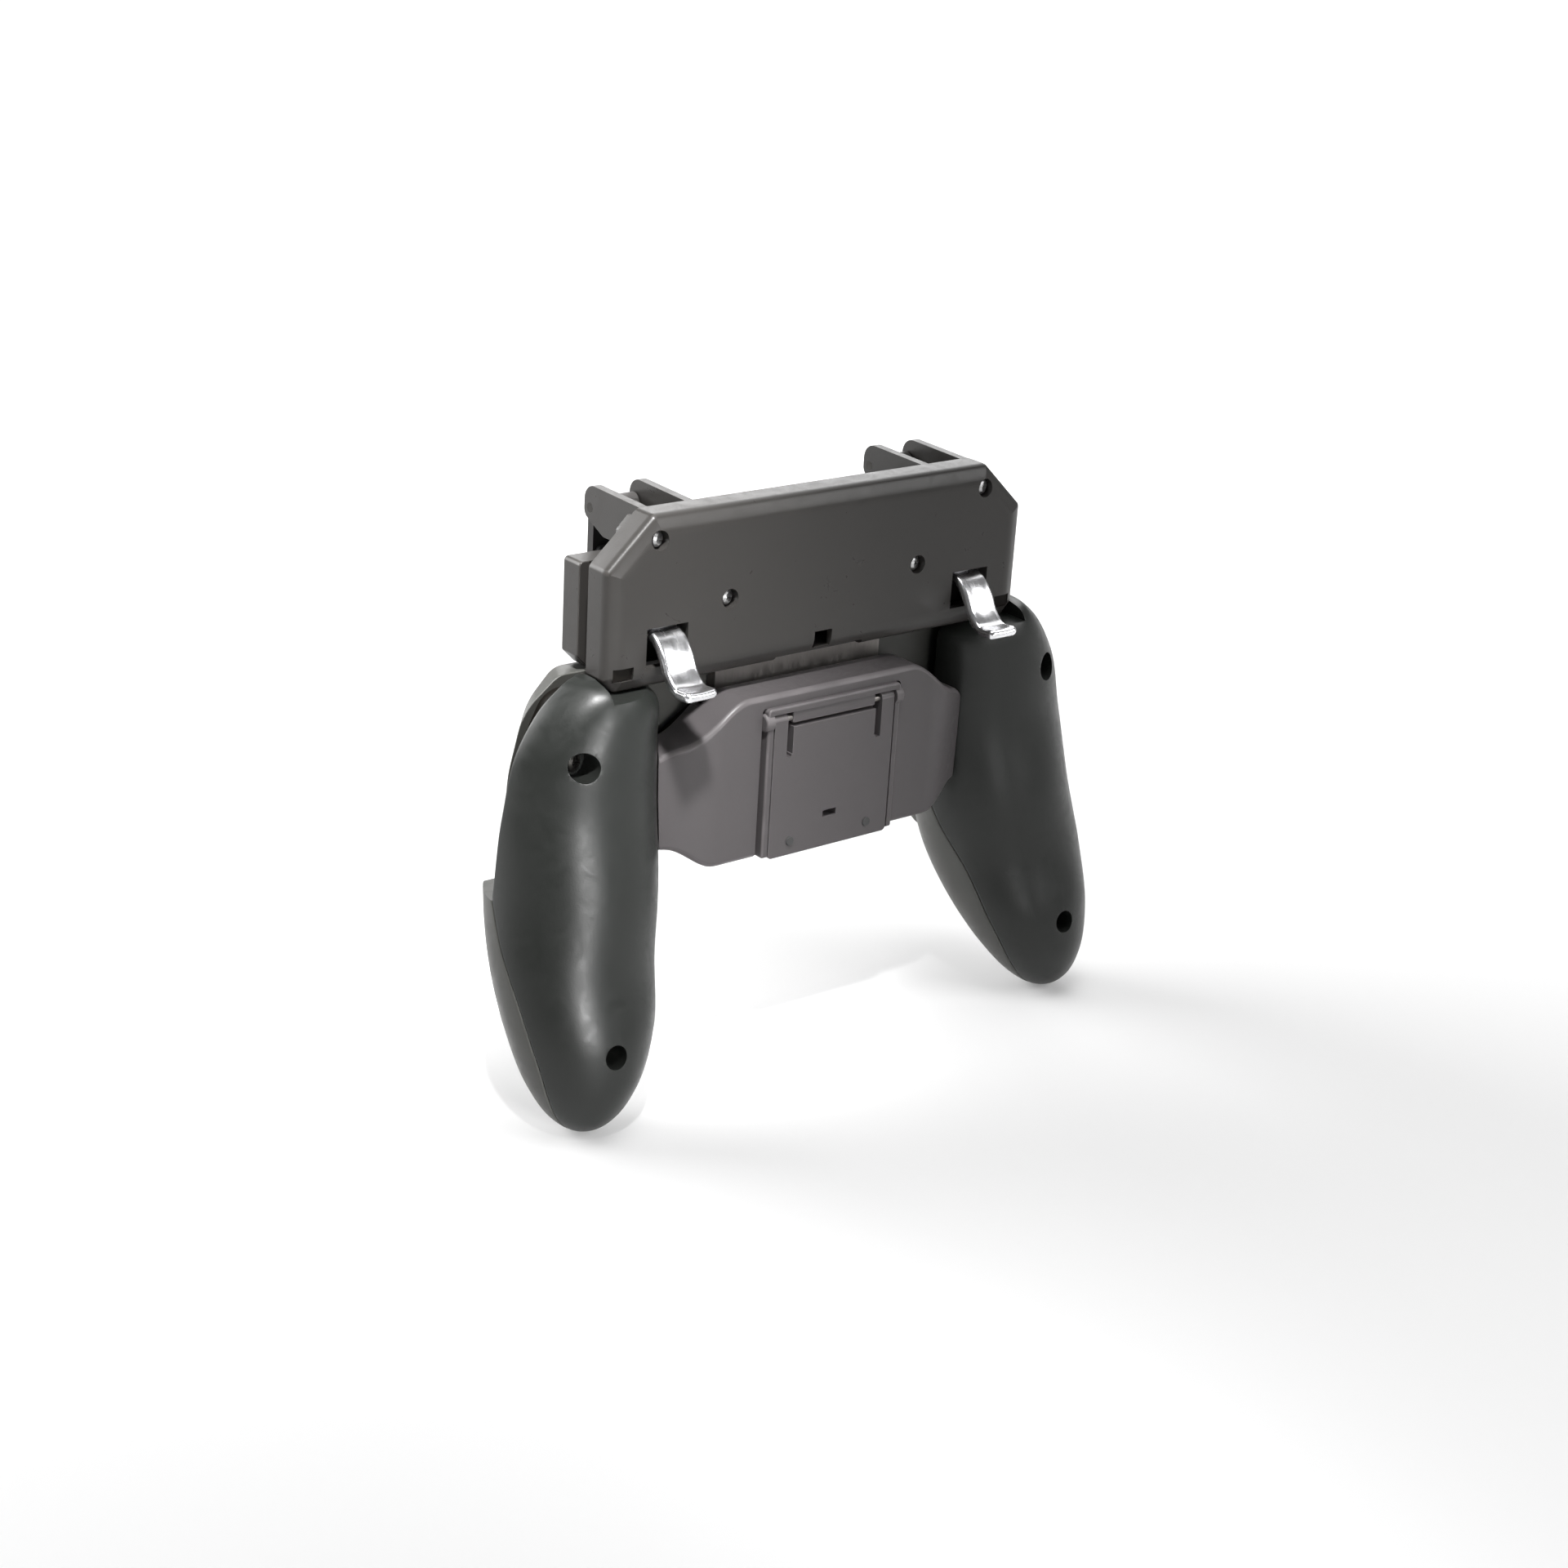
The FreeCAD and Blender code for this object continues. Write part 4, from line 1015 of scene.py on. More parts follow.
@dataclass
class Handle:
    """One grip: a rear shell, a front shell with ledge and lip, and their screw recesses."""

    stations: tuple[tuple[float, ...], ...] = (
        (14.3, 55.2, 9.2, 2.0, 3.4, 0.0),
        (12.6, 53.0, 8.8, 7.6, 9.6, 0.0),
        (8.5, 52.2, 8.0, 13.3, 12.6, 0.0),
        (1.5, 54.2, 7.5, 15.9, 14.2, 1.0),
        (-12.0, 55.7, 7.5, 17.8, 15.5, 5.0),
        (-28.0, 57.0, 9.7, 18.4, 17.0, 12.0),
        (-44.0, 59.0, 13.8, 18.4, 15.8, 20.0),
        (-57.0, 60.6, 19.6, 15.8, 14.4, 16.0),
        (-66.5, 62.2, 23.2, 11.8, 11.4, 8.0),
        (-72.6, 63.2, 25.0, 7.4, 7.4, 0.0),
        (-75.4, 63.6, 25.8, 3.4, 3.4, 0.0),
        (-75.9, 63.7, 26.0, 1.2, 1.2, 0.0),
    )
    parting: tuple[Point2, ...] = (
        (CORE_REAR, PARTING_TOP),
        (13.4, -36.5),
        (19.0, -44.5),
        (24.0, -54.0),
        (27.0, -63.0),
        (27.4, -71.0),
        (26.4, -80.0),
    )
    rows: int = 120
    columns: int = 56
    screw_upper: tuple[float, float, float, float] = (61.8, -0.5, 3.0, 15.5)
    screw_lower: tuple[float, float, float, float] = (61.6, -57.4, 2.5, 27.0)
    ledge_x: Point2 = (47.0, 62.5)
    chin_curve: tuple[Point3, ...] = (
        (-46.5, -0.5, 4.6),
        (-45.6, -3.6, 3.3),
        (-44.0, -6.6, 2.1),
        (-41.6, -9.0, 1.1),
    )
    chin_corner: float = 2.2
    chin_rear: float = 9.0
    lip_depth: float = 2.2
    lip_height: float = 3.0
    seam: float = 0.55
    seam_shares: tuple[float, ...] = (0.15, 0.45, 0.8)
    shoulder_step: Point2 = (54.7, 11.0)
    rounding: float = 0.4
    rounded_from: float = 38.0

    def levels(self) -> np.ndarray:
        """Station values (height, x, y, half width, half depth, tilt) at each row, top to bottom."""
        table = np.array(self.stations)
        steps = np.linalg.norm(np.diff(table[:, :5], axis=0), axis=1)
        knots = np.concatenate([[0.0], np.cumsum(steps)])
        return spline(knots, table, np.linspace(0.0, knots[-1], self.rows))

    def parting_y(self, z: float) -> float:
        """Depth of the joint between the two shells.

        Args:
            z: Height.

        Returns:
            Depth in millimetres.
        """
        if z >= PARTING_TOP:
            return CORE_REAR
        table = np.array(self.parting)[::-1]
        return float(spline(table[:, 1], table[:, :1], np.array([z]))[0, 0])

    def ring(self, level: np.ndarray, start: float, stop: float, grow: float = 0.0) -> list[Point3]:
        """Points round one level between two angles.

        Args:
            level: Station values.
            start: First angle in radians.
            stop: Last angle in radians.
            grow: Added to both half axes, in millimetres; an open ring that does not grow gets rounded ends.

        Returns:
            One point for each column.
        """
        z, x, y, width, depth, tilt = level
        turn = math.radians(tilt)
        seam = 0.0 if grow else min(self.seam, min(width, depth) / 3)
        reach = max(width, depth)
        around = np.linspace(start, stop, self.columns - 2 * len(self.seam_shares))
        ends = seam / reach * np.array(self.seam_shares)
        between = [around[0] + ends, around[1:-1], around[-1] - ends[::-1]]
        angles = np.concatenate([around[:1], *between, around[-1:]])
        found = []
        for angle in angles:
            run = min(angle - start, stop - angle) * reach
            sunk = seam - math.sqrt(seam**2 - (seam - run) ** 2) if run < seam else 0.0
            u = (width + grow - sunk) * math.cos(angle)
            v = (depth + grow - sunk) * math.sin(angle)
            point_x = x + u * math.cos(turn) - v * math.sin(turn)
            point_y = y + u * math.sin(turn) + v * math.cos(turn)
            found.append((point_x, point_y, z))
        return found

    def crossing(self, level: np.ndarray) -> Point2:
        """Where the joint crosses a level.

        Args:
            level: Station values.

        Returns:
            The sine of the crossing's angle, cut to one, and the level's phase.
        """
        z, _, y, width, depth, tilt = level
        turn = math.radians(tilt)
        reach = math.hypot(width * math.sin(turn), depth * math.cos(turn))
        phase = math.atan2(width * math.sin(turn), depth * math.cos(turn))
        share = (self.parting_y(z) - y) / reach
        return max(-1.0, min(1.0, share)), phase

    def half(self, name: str, rear: bool) -> bpy.types.Object:
        """Solid half of the right handle.

        Args:
            name: Name of the solid.
            rear: Whether it is the half behind the joint.

        Returns:
            The solid.
        """
        rings = []
        for level in self.levels():
            if not rear and level[0] > PARTING_TOP:
                continue
            share, phase = self.crossing(level)
            if rear and share >= 1.0:
                break
            angle = math.asin(share)
            if rear:
                rings.append(self.ring(level, angle - phase, math.pi - angle - phase))
            else:
                rings.append(self.ring(level, math.pi - angle - phase, 2 * math.pi + angle - phase))
        return skin(name, rings)

    def clearance(self, name: str) -> bpy.types.Object:
        """Whole right handle grown by the split gap, for cutting its neighbours."""
        whole_turn = 2 * math.pi * (1 - 1 / self.columns)
        return skin(name, [self.ring(level, 0.0, whole_turn, GAP) for level in self.levels()])

    def chin(self) -> bpy.types.Object:
        """Ledge under the bay and the lip in front of it, as one rounded block."""
        front = -BAY_DEPTH - self.lip_depth
        top = LEDGE_TOP + self.lip_height
        lip = (
            (LEDGE_TOP - 2.0, front + 0.1, 0.35),
            (LEDGE_TOP, front, 0.1),
            (top - 0.9, front, 0.0),
            (top - 0.3, front + 0.3, 0.2),
            (top, front + 0.9, 0.8),
        )
        rings = []
        for z, y, inset in self.chin_curve + lip:
            low, high = self.ledge_x[0] + inset, self.ledge_x[1] - inset
            corner, rear = self.chin_corner, self.chin_rear
            shape = Outline([(low, y, corner), (high, y, corner), (high, rear, 0.0), (low, rear, 0.0)])
            rings.append([(u, v, z) for u, v in shape.points()])
        return skin("chin", rings)

    def rear(self) -> bpy.types.Object:
        """Rear shell with its screw recesses and the step under the trigger box."""
        shell = self.half("right_grip_back", True)
        wells = []
        for x, z, radius, seat in (self.screw_upper, self.screw_lower):
            wells.append(turned("well", radius, Plane.XZ, (x, z), straight(seat, 50.0), 48))
        step_x, step_z = self.shoulder_step
        step = bar("step", (0.0, -30.0, step_z), (step_x, 60.0, 40.0))
        carve(shell, Cut.TAKE, *wells, step)
        return shell

    def front(self) -> bpy.types.Object:
        """Front shell with its ledge and lip round the bay."""
        shell = self.half("right_grip_front", False)
        carve(shell, Cut.ADD, self.chin())
        bay = bar("bay", (30.0, -BAY_DEPTH, LEDGE_TOP), (100.0, 0.0, 0.0))
        above = bar("above", (30.0, -40.0, LEDGE_TOP + self.lip_height), (100.0, -BAY_DEPTH, 0.0))
        carve(shell, Cut.TAKE, bay)
        carve(shell, Cut.TAKE, above)
        return shell

    def build(self) -> None:
        """Make both grips and dress them."""
        # The front shells take the lighter plastic, which paints light on their flanks
        shells = ((self.rear(), "rear", GRIP_PLASTIC), (self.front(), "front", FRONT_PLASTIC_PAINTED_LIGHT))
        for piece, label, finish in shells:
            ease_edges(piece, self.rounding, self.rounded_from)
            other = mirrored_copy(piece, piece.name.replace("right_", "left_"))
            for side, whole in ((Side.RIGHT, piece), (Side.LEFT, other)):
                shade(whole, 35.0)
                dress(whole, finish, "housing", "shell_plastic", f"{side.prefix}grip_{label}_shell")


@dataclass
class FrontPlate:
    """Fixed front plate with drafted shoulders."""

    draft: float = 4.6
    edge: float = 0.9
    rear_edge: float = 0.25

    def outline(self, draft: float) -> Outline:
        """Outline at one depth.

        Args:
            draft: How far the sides are drawn in there.

        Returns:
            The outline.
        """
        bottom = PARTING_TOP + GAP
        right = [
            (31.0, -29.0, 4.0),
            (37.0, -24.4, 3.0),
            (44.2, -24.4, 2.0),
            (44.2, bottom, 0.8),
            (71.2 - draft, bottom, 1.5),
            (71.2 - draft, -19.0, 40.0),
            (70.0 - draft, -5.0, 30.0),
            (66.8 - draft, 7.2, 12.0),
            (58.6 - draft / 2, 13.6, 5.0),
        ]
        return Outline.mirrored(right, 8)

    def build(self) -> None:
        """Make the plate and dress it."""
        rings = []
        for inset, depth in round_profile(0.0, PLATE_REAR, self.edge, self.rear_edge, 5):
            shape = self.outline(self.draft * (1 - depth / PLATE_REAR)).inset(inset)
            rings.append([(u, depth, v) for u, v in shape.points()])
        piece = skin("front_plate", rings)
        shade(piece)
        dress(piece, FRONT_PLASTIC_PAINTED_LIGHT, "housing", "shell_plastic", "front_shell")


@dataclass
class CentreCover:
    """Rear cover between the grips, with the kickstand's frame, its hinge block and the spring posts."""

    half_width: float = 46.0
    depth: float = 20.5
    edge: float = 1.3
    edge_steps: int = 6
    valley: float = 0.7
    rounding: float = 0.22
    columns: int = 150
    bottom_middle: float = -29.0
    bottom_rise: float = 4.6
    bottom_span: Point2 = (28.8, 38.6)
    top_middle: float = 6.5
    top_fall: float = 8.6
    top_span: Point2 = (21.5, 37.5)
    corner_fall: float = 3.4
    corner_span: Point2 = (36.0, 44.0)
    flat_half: float = 27.5
    side_fall: float = 8.5
    side_power: float = 1.7
    ear_radius: float = 1.9
    ear_width: float = 2.1
    leaf_half_width: float = 16.0
    leaf_thickness: float = 2.6
    frame_width: float = 1.4
    moat: Point2 = (0.8, 1.3)
    mouth_half: float = 31.0
    mouth: Point2 = (2.4, 3.2)
    block_half: float = 11.0
    block_bottom: float = -0.2
    hollow_half: float = 31.0
    hollow_z: Point2 = (-27.4, 4.9)
    solid_corner: tuple[Point2, ...] = ((19.0, 8.0), (42.0, 8.0), (42.0, -6.0))
    post_x: float = 14.0
    post_z: float = -25.3
    post_radius: float = 1.2

    @property
    def leaf_rear(self) -> float:
        """Depth of the folded leaf's rear face."""
        return HINGE[0] + self.leaf_thickness / 2

    @property
    def pocket_floor(self) -> float:
        """Depth of the pocket under the folded leaf."""
        return HINGE[0] - self.leaf_thickness / 2 - GAP

    @property
    def pocket_half(self) -> float:
        """Half width of the pocket."""
        return self.leaf_half_width + GAP

    @property
    def pocket_top(self) -> float:
        """Height of the pocket's upper end."""
        return HINGE[1] + self.leaf_thickness / 2 + GAP

    @staticmethod
    def ease(value: float, low: float, high: float) -> float:
        """Smooth step from 0 at low to 1 at high."""
        share = max(0.0, min(1.0, (value - low) / (high - low)))
        return share * share * (3 - 2 * share)

    def bottom(self, x: float) -> float:
        """Height of the lower edge."""
        return self.bottom_middle + self.bottom_rise * self.ease(abs(x), *self.bottom_span)

    def top(self, x: float) -> float:
        """Height of the upper edge."""
        fall = self.top_middle - self.top_fall * self.ease(abs(x), *self.top_span)
        return fall - self.corner_fall * self.ease(abs(x), *self.corner_span)

    def rear(self, x: float) -> float:
        """Depth of the rear face: flat in the middle, then falling to the sides.

        Args:
            x: Place across the cover.

        Returns:
            Depth in millimetres.
        """
        if abs(x) <= self.flat_half:
            return self.depth
        share = (abs(x) - self.flat_half) / (self.half_width - self.flat_half)
        return self.depth - self.side_fall * share**self.side_power

    def ring(self, x: float) -> list[Point3]:
        """Closed section: front wall, lower edge, rear face and upper edge.

        Args:
            x: Place across the cover.

        Returns:
            The section's points.
        """
        low, high, deep = self.bottom(x), self.top(x), self.rear(x)
        radius = min(self.edge, (deep - CORE_REAR) / 2)
        angles = [math.pi / 2 * k / self.edge_steps for k in range(self.edge_steps + 1)]
        arc = [(radius * math.cos(angle), radius * math.sin(angle)) for angle in angles]
        found = [(x, CORE_REAR, low)]
        found += [(x, deep - radius + v, low + radius - u) for u, v in arc]
        found += [(x, deep - radius + u, high - radius + v) for u, v in arc]
        found.append((x, CORE_REAR, high))
        return found

    def ear(self, side: Side) -> bpy.types.Object:
        """Rounded lug of the frame round one end of the leaf's hinge.

        Args:
            side: End of the hinge.

        Returns:
            The lug.
        """
        start = self.pocket_half
        profile = round_profile(start - 1.0, start + self.ear_width, 0.0, 0.5, 3)
        outwards = [(inset, side.value * x) for inset, x in profile]
        return turned("ear", self.ear_radius, Plane.YZ, HINGE, outwards, 32)

    def body(self, handle: Handle) -> bpy.types.Object:
        """Make the cover's outer form.

        Args:
            handle: Grip that it is cut clear of.

        Returns:
            The cover, still solid.
        """
        rings = [self.ring(x) for x in np.linspace(-self.half_width, self.half_width, self.columns)]
        cover = skin("centre_cover", rings)
        right = handle.clearance("clear_right")
        left = mirrored_copy(right, "clear_left")
        carve(cover, Cut.TAKE, right, left)
        ease_edges(cover, self.valley, 50.0, 4, mend=True)
        return cover

    def add_frame(self, cover: bpy.types.Object) -> None:
        """Cut the gutter, the mouth and the leaf's pocket, and build the frame, ears and hinge block.

        Args:
            cover: Solid cover that is changed.
        """
        frame_half = self.pocket_half + self.frame_width
        frame_top = self.pocket_top + self.frame_width
        gutter_half = frame_half + self.moat[0]
        gutter = Outline.mirrored([(gutter_half, -40.0, 0.0), (gutter_half, frame_top, 0.9)], 4)
        carve(cover, Cut.TAKE, plate("gutter", gutter, Plane.XZ, straight(self.depth - self.moat[1], 30.0)))
        top = self.top(0.0)
        half, low = self.mouth_half, top - self.mouth[1]
        mouth = Outline.mirrored([(half, low, 0.8), (half, top + 5.0, 0.0)], 4)
        carve(cover, Cut.TAKE, plate("mouth", mouth, Plane.XZ, straight(0.0, CORE_REAR + self.mouth[0])))
        rail = Outline.mirrored([(frame_half, -29.0, 0.5), (frame_half, frame_top, 0.9)], 4)
        profile = round_profile(12.0, self.leaf_rear, 0.0, 0.5, 4)
        carve(cover, Cut.ADD, plate("frame", rail, Plane.XZ, profile))
        carve(cover, Cut.ADD, *[self.ear(side) for side in Side])
        low = (-self.pocket_half, self.pocket_floor, -40.0)
        carve(cover, Cut.TAKE, bar("pocket", low, (self.pocket_half, 40.0, self.pocket_top)))
        half, block_top = self.block_half, self.pocket_top + 0.2
        block = Outline.mirrored([(half, self.block_bottom, 0.4), (half, block_top, 0.0)], 4)
        profile = round_profile(self.pocket_floor - 0.6, self.leaf_rear - GAP, 0.0, 0.4, 3)
        carve(cover, Cut.ADD, plate("block", block, Plane.XZ, profile))

    def hollow_out(self, cover: bpy.types.Object) -> None:
        """Empty the inside, leave its upper corners solid and build the springs' posts.

        Args:
            cover: Cover that is changed.
        """
        ceiling = self.pocket_floor - WALL
        low, high = self.hollow_z
        hollow = bar("hollow", (-self.hollow_half, 0.0, low), (self.hollow_half, ceiling, high))
        corners = []
        for side in Side:
            wedge = [(side.value * x, z, 0.0) for x, z in self.solid_corner]
            shape = Outline(wedge if side is Side.LEFT else wedge[::-1])
            corners.append(plate("corner", shape, Plane.XZ, straight(-1.0, 30.0)))
        carve(hollow, Cut.TAKE, *corners)
        carve(cover, Cut.TAKE, hollow)
        reach = straight(CORE_REAR + 0.6, ceiling + 0.5)
        posts = []
        for side in Side:
            spot = (side.value * self.post_x, self.post_z)
            posts.append(turned("post", self.post_radius, Plane.XZ, spot, reach))
        carve(cover, Cut.ADD, *posts)

    def build(self, handle: Handle) -> None:
        """Make the cover, cut clear of the grips, and dress it.

        Args:
            handle: Grip beside it.
        """
        cover = self.body(handle)
        self.add_frame(cover)
        self.hollow_out(cover)
        ease_edges(cover, self.rounding, 45.0, 2, mend=True)
        shade(cover, 35.0)
        dress(cover, COVER_PLASTIC, "housing", "shell_plastic", "centre_rear_shell")


@dataclass
class TriggerBox:
    """Cover of the trigger box: cut corners, soft bevels, slots, screw wells and pivot ribs."""

    half_width: float = 54.4
    bottom: float = 11.3
    top: float = 46.5
    top_corner: Point2 = (10.9, 10.1)
    bottom_corner: float = 2.9
    bottom_round: float = 1.2
    top_round: float = 1.6
    rounding: float = 0.14
    screws: tuple[Point2, ...] = ((42.6, 41.6), (24.8, 27.2))
    well_radius: float = 2.0
    well_depth: float = 2.2
    boss_radius: float = 3.0
    slot_x: float = 40.0
    slot_width: float = 10.0
    slot_z: Point2 = (15.8, 23.9)
    rib_starts: Point2 = (33.0, 44.4)
    rib_width: float = 1.5
    rib_z: Point2 = (20.6, 28.4)
    into_wall: float = 0.4
    notch_half: float = 2.3
    notch_top: float = 16.6
    thumb_half: float = 11.6
    thumb_height: float = 1.2
    thumb_depth: float = 3.2
    window_place: Point2 = (50.2, 15.2)
    window_size: Point2 = (4.6, 2.8)
    window_depth: float = 1.2
    pane_thickness: float = 0.45
    profile: tuple[Point2, ...] = (
        (0.0, CORE_REAR),
        (0.0, 13.2),
        (0.07, 13.9),
        (0.28, 14.45),
        (0.66, 14.85),
        (1.20, 15.15),
        (1.90, 15.45),
        (2.50, 15.70),
        (3.10, 15.87),
        (3.80, 15.96),
        (4.60, BOX_REAR),
    )

    def outline(self) -> Outline:
        """Outline of the box with softly rounded corners."""
        side = self.top - self.top_corner[1]
        right = [
            (self.half_width - self.bottom_corner, self.bottom, self.bottom_round),
            (self.half_width, self.bottom + self.bottom_corner, self.bottom_round),
            (self.half_width, side, self.top_round),
            (self.half_width - self.top_corner[0], self.top, self.top_round),
        ]
        return Outline.mirrored(right, 6)

    def recesses(self) -> list[bpy.types.Object]:
        """Tools for everything that is cut into the rear wall."""
        inner = BOX_REAR - WALL
        well = straight(BOX_REAR - self.well_depth, 20.0)
        tools = []
        for side in Side:
            x = side.value * self.slot_x
            low, high = x - self.slot_width / 2, x + self.slot_width / 2
            tools.append(bar("slot", (low, inner - 1, self.slot_z[0]), (high, 20.0, self.slot_z[1])))
            tools.append(self.window(side, BOX_REAR - self.window_depth, 20.0, 0.0))
            for sx, sz in self.screws:
                tools.append(turned("well", self.well_radius, Plane.XZ, (side.value * sx, sz), well))
        low = (-self.notch_half, inner - 1, self.bottom + WALL)
        tools.append(bar("notch", low, (self.notch_half, 20.0, self.notch_top)))
        return tools

    def window(self, side: Side, start: float, stop: float, margin: float) -> bpy.types.Object:
        """Block in the place of one small window near the lower corner.

        Args:
            side: Corner that it is in.
            start: Depth of its front.
            stop: Depth of its rear.
            margin: How much smaller it is all round.

        Returns:
            The block.
        """
        x = side.value * self.window_place[0]
        half_x = self.window_size[0] / 2 - margin
        half_z = self.window_size[1] / 2 - margin
        z = self.window_place[1]
        return bar("window", (x - half_x, start, z - half_z), (x + half_x, stop, z + half_z))

    def windows(self) -> None:
        """Make the near-black panes at the bottom of the two windows; they paint the shade of the recesses.
        """
        floor = BOX_REAR - self.window_depth
        rear = floor + self.pane_thickness
        # Near-black panes are painted shade at the bottom of the shallow window recesses
        panes = join("smoked_windows", [self.window(side, floor - 0.1, rear, 0.05) for side in Side])
        ease_edges(panes, 0.12, 50.0, 2)
        shade(panes)
        dress(panes, CORE_PLASTIC, "carriage", "core_plastic")

    def supports(self) -> list[bpy.types.Object]:
        """Screw bosses and pivot ribs on the inside of the rear wall."""
        reach = BOX_REAR - WALL + self.into_wall
        found = []
        for side in Side:
            for x, z in self.screws:
                spot = (side.value * x, z)
                found.append(turned("boss", self.boss_radius, Plane.XZ, spot, straight(CORE_REAR, reach)))
            for start in self.rib_starts:
                low, high = side.span(start, start + self.rib_width)
                found.append(bar("rib", (low, CORE_REAR, self.rib_z[0]), (high, reach, self.rib_z[1])))
        return found

    def build(self) -> None:
        """Make the cover and its windows and dress them."""
        self.windows()
        cover = plate("trigger_box", self.outline(), Plane.XZ, self.profile)
        hollow = plate("hollow", self.outline().inset(WALL), Plane.XZ, straight(8.0, BOX_REAR - WALL))
        carve(cover, Cut.TAKE, hollow)
        carve(cover, Cut.ADD, *self.supports())
        carve(cover, Cut.TAKE, *self.recesses())
        thumb_top = self.bottom + self.thumb_height
        thumb = Outline.mirrored([(self.thumb_half, 8.0, 0.0), (self.thumb_half, thumb_top, 0.5)], 4)
        carve(cover, Cut.TAKE, plate("thumb", thumb, Plane.XZ, straight(BOX_REAR - self.thumb_depth, 20.0)))
        ease_edges(cover, self.rounding, 50.0, 2, mend=True)
        shade(cover, 35.0)
        dress(cover, BOX_PLASTIC, "carriage", "box_plastic", "trigger_box_cover")


@dataclass
class Carriage:
    """What slides with the trigger box: rest plate, fins, jaw and the jaw's pad."""

    pocket_x: Point2 = (32.0, 46.4)
    pocket_z: Point2 = (19.0, 40.0)

    def build(self) -> None:
        """Make the rest plate and the fins, and dress them and the jaw's pad."""
        right = [(51.5, 13.9, 0.8), (54.4, 16.8, 0.8), (54.4, PLATE_TOP, 1.0)]
        profile = round_profile(0.0, PLATE_REAR, 0.6, 0.25)
        rest = plate("rest_plate", Outline.mirrored(right, 5), Plane.XZ, profile)
        pockets = []
        for side in Side:
            low, high = side.span(*self.pocket_x)
            pockets.append(bar("pocket", (low, WALL, self.pocket_z[0]), (high, 20.0, self.pocket_z[1])))
        carve(rest, Cut.TAKE, *pockets)
        shade(rest)
        dress(rest, BOX_PLASTIC, "carriage", "box_plastic", "carriage_plate")
        fins = refined("fin_bracket", "fins_and_jaw", 0.35)
        dress(fins, BOX_PLASTIC, "carriage", "box_plastic", "fin_bracket")
        pad = refined("jaw_pad", "jaw_rubber", 0.25)
        dress(pad, BLACK_RUBBER, "carriage", "black_rubber", "jaw_pad")


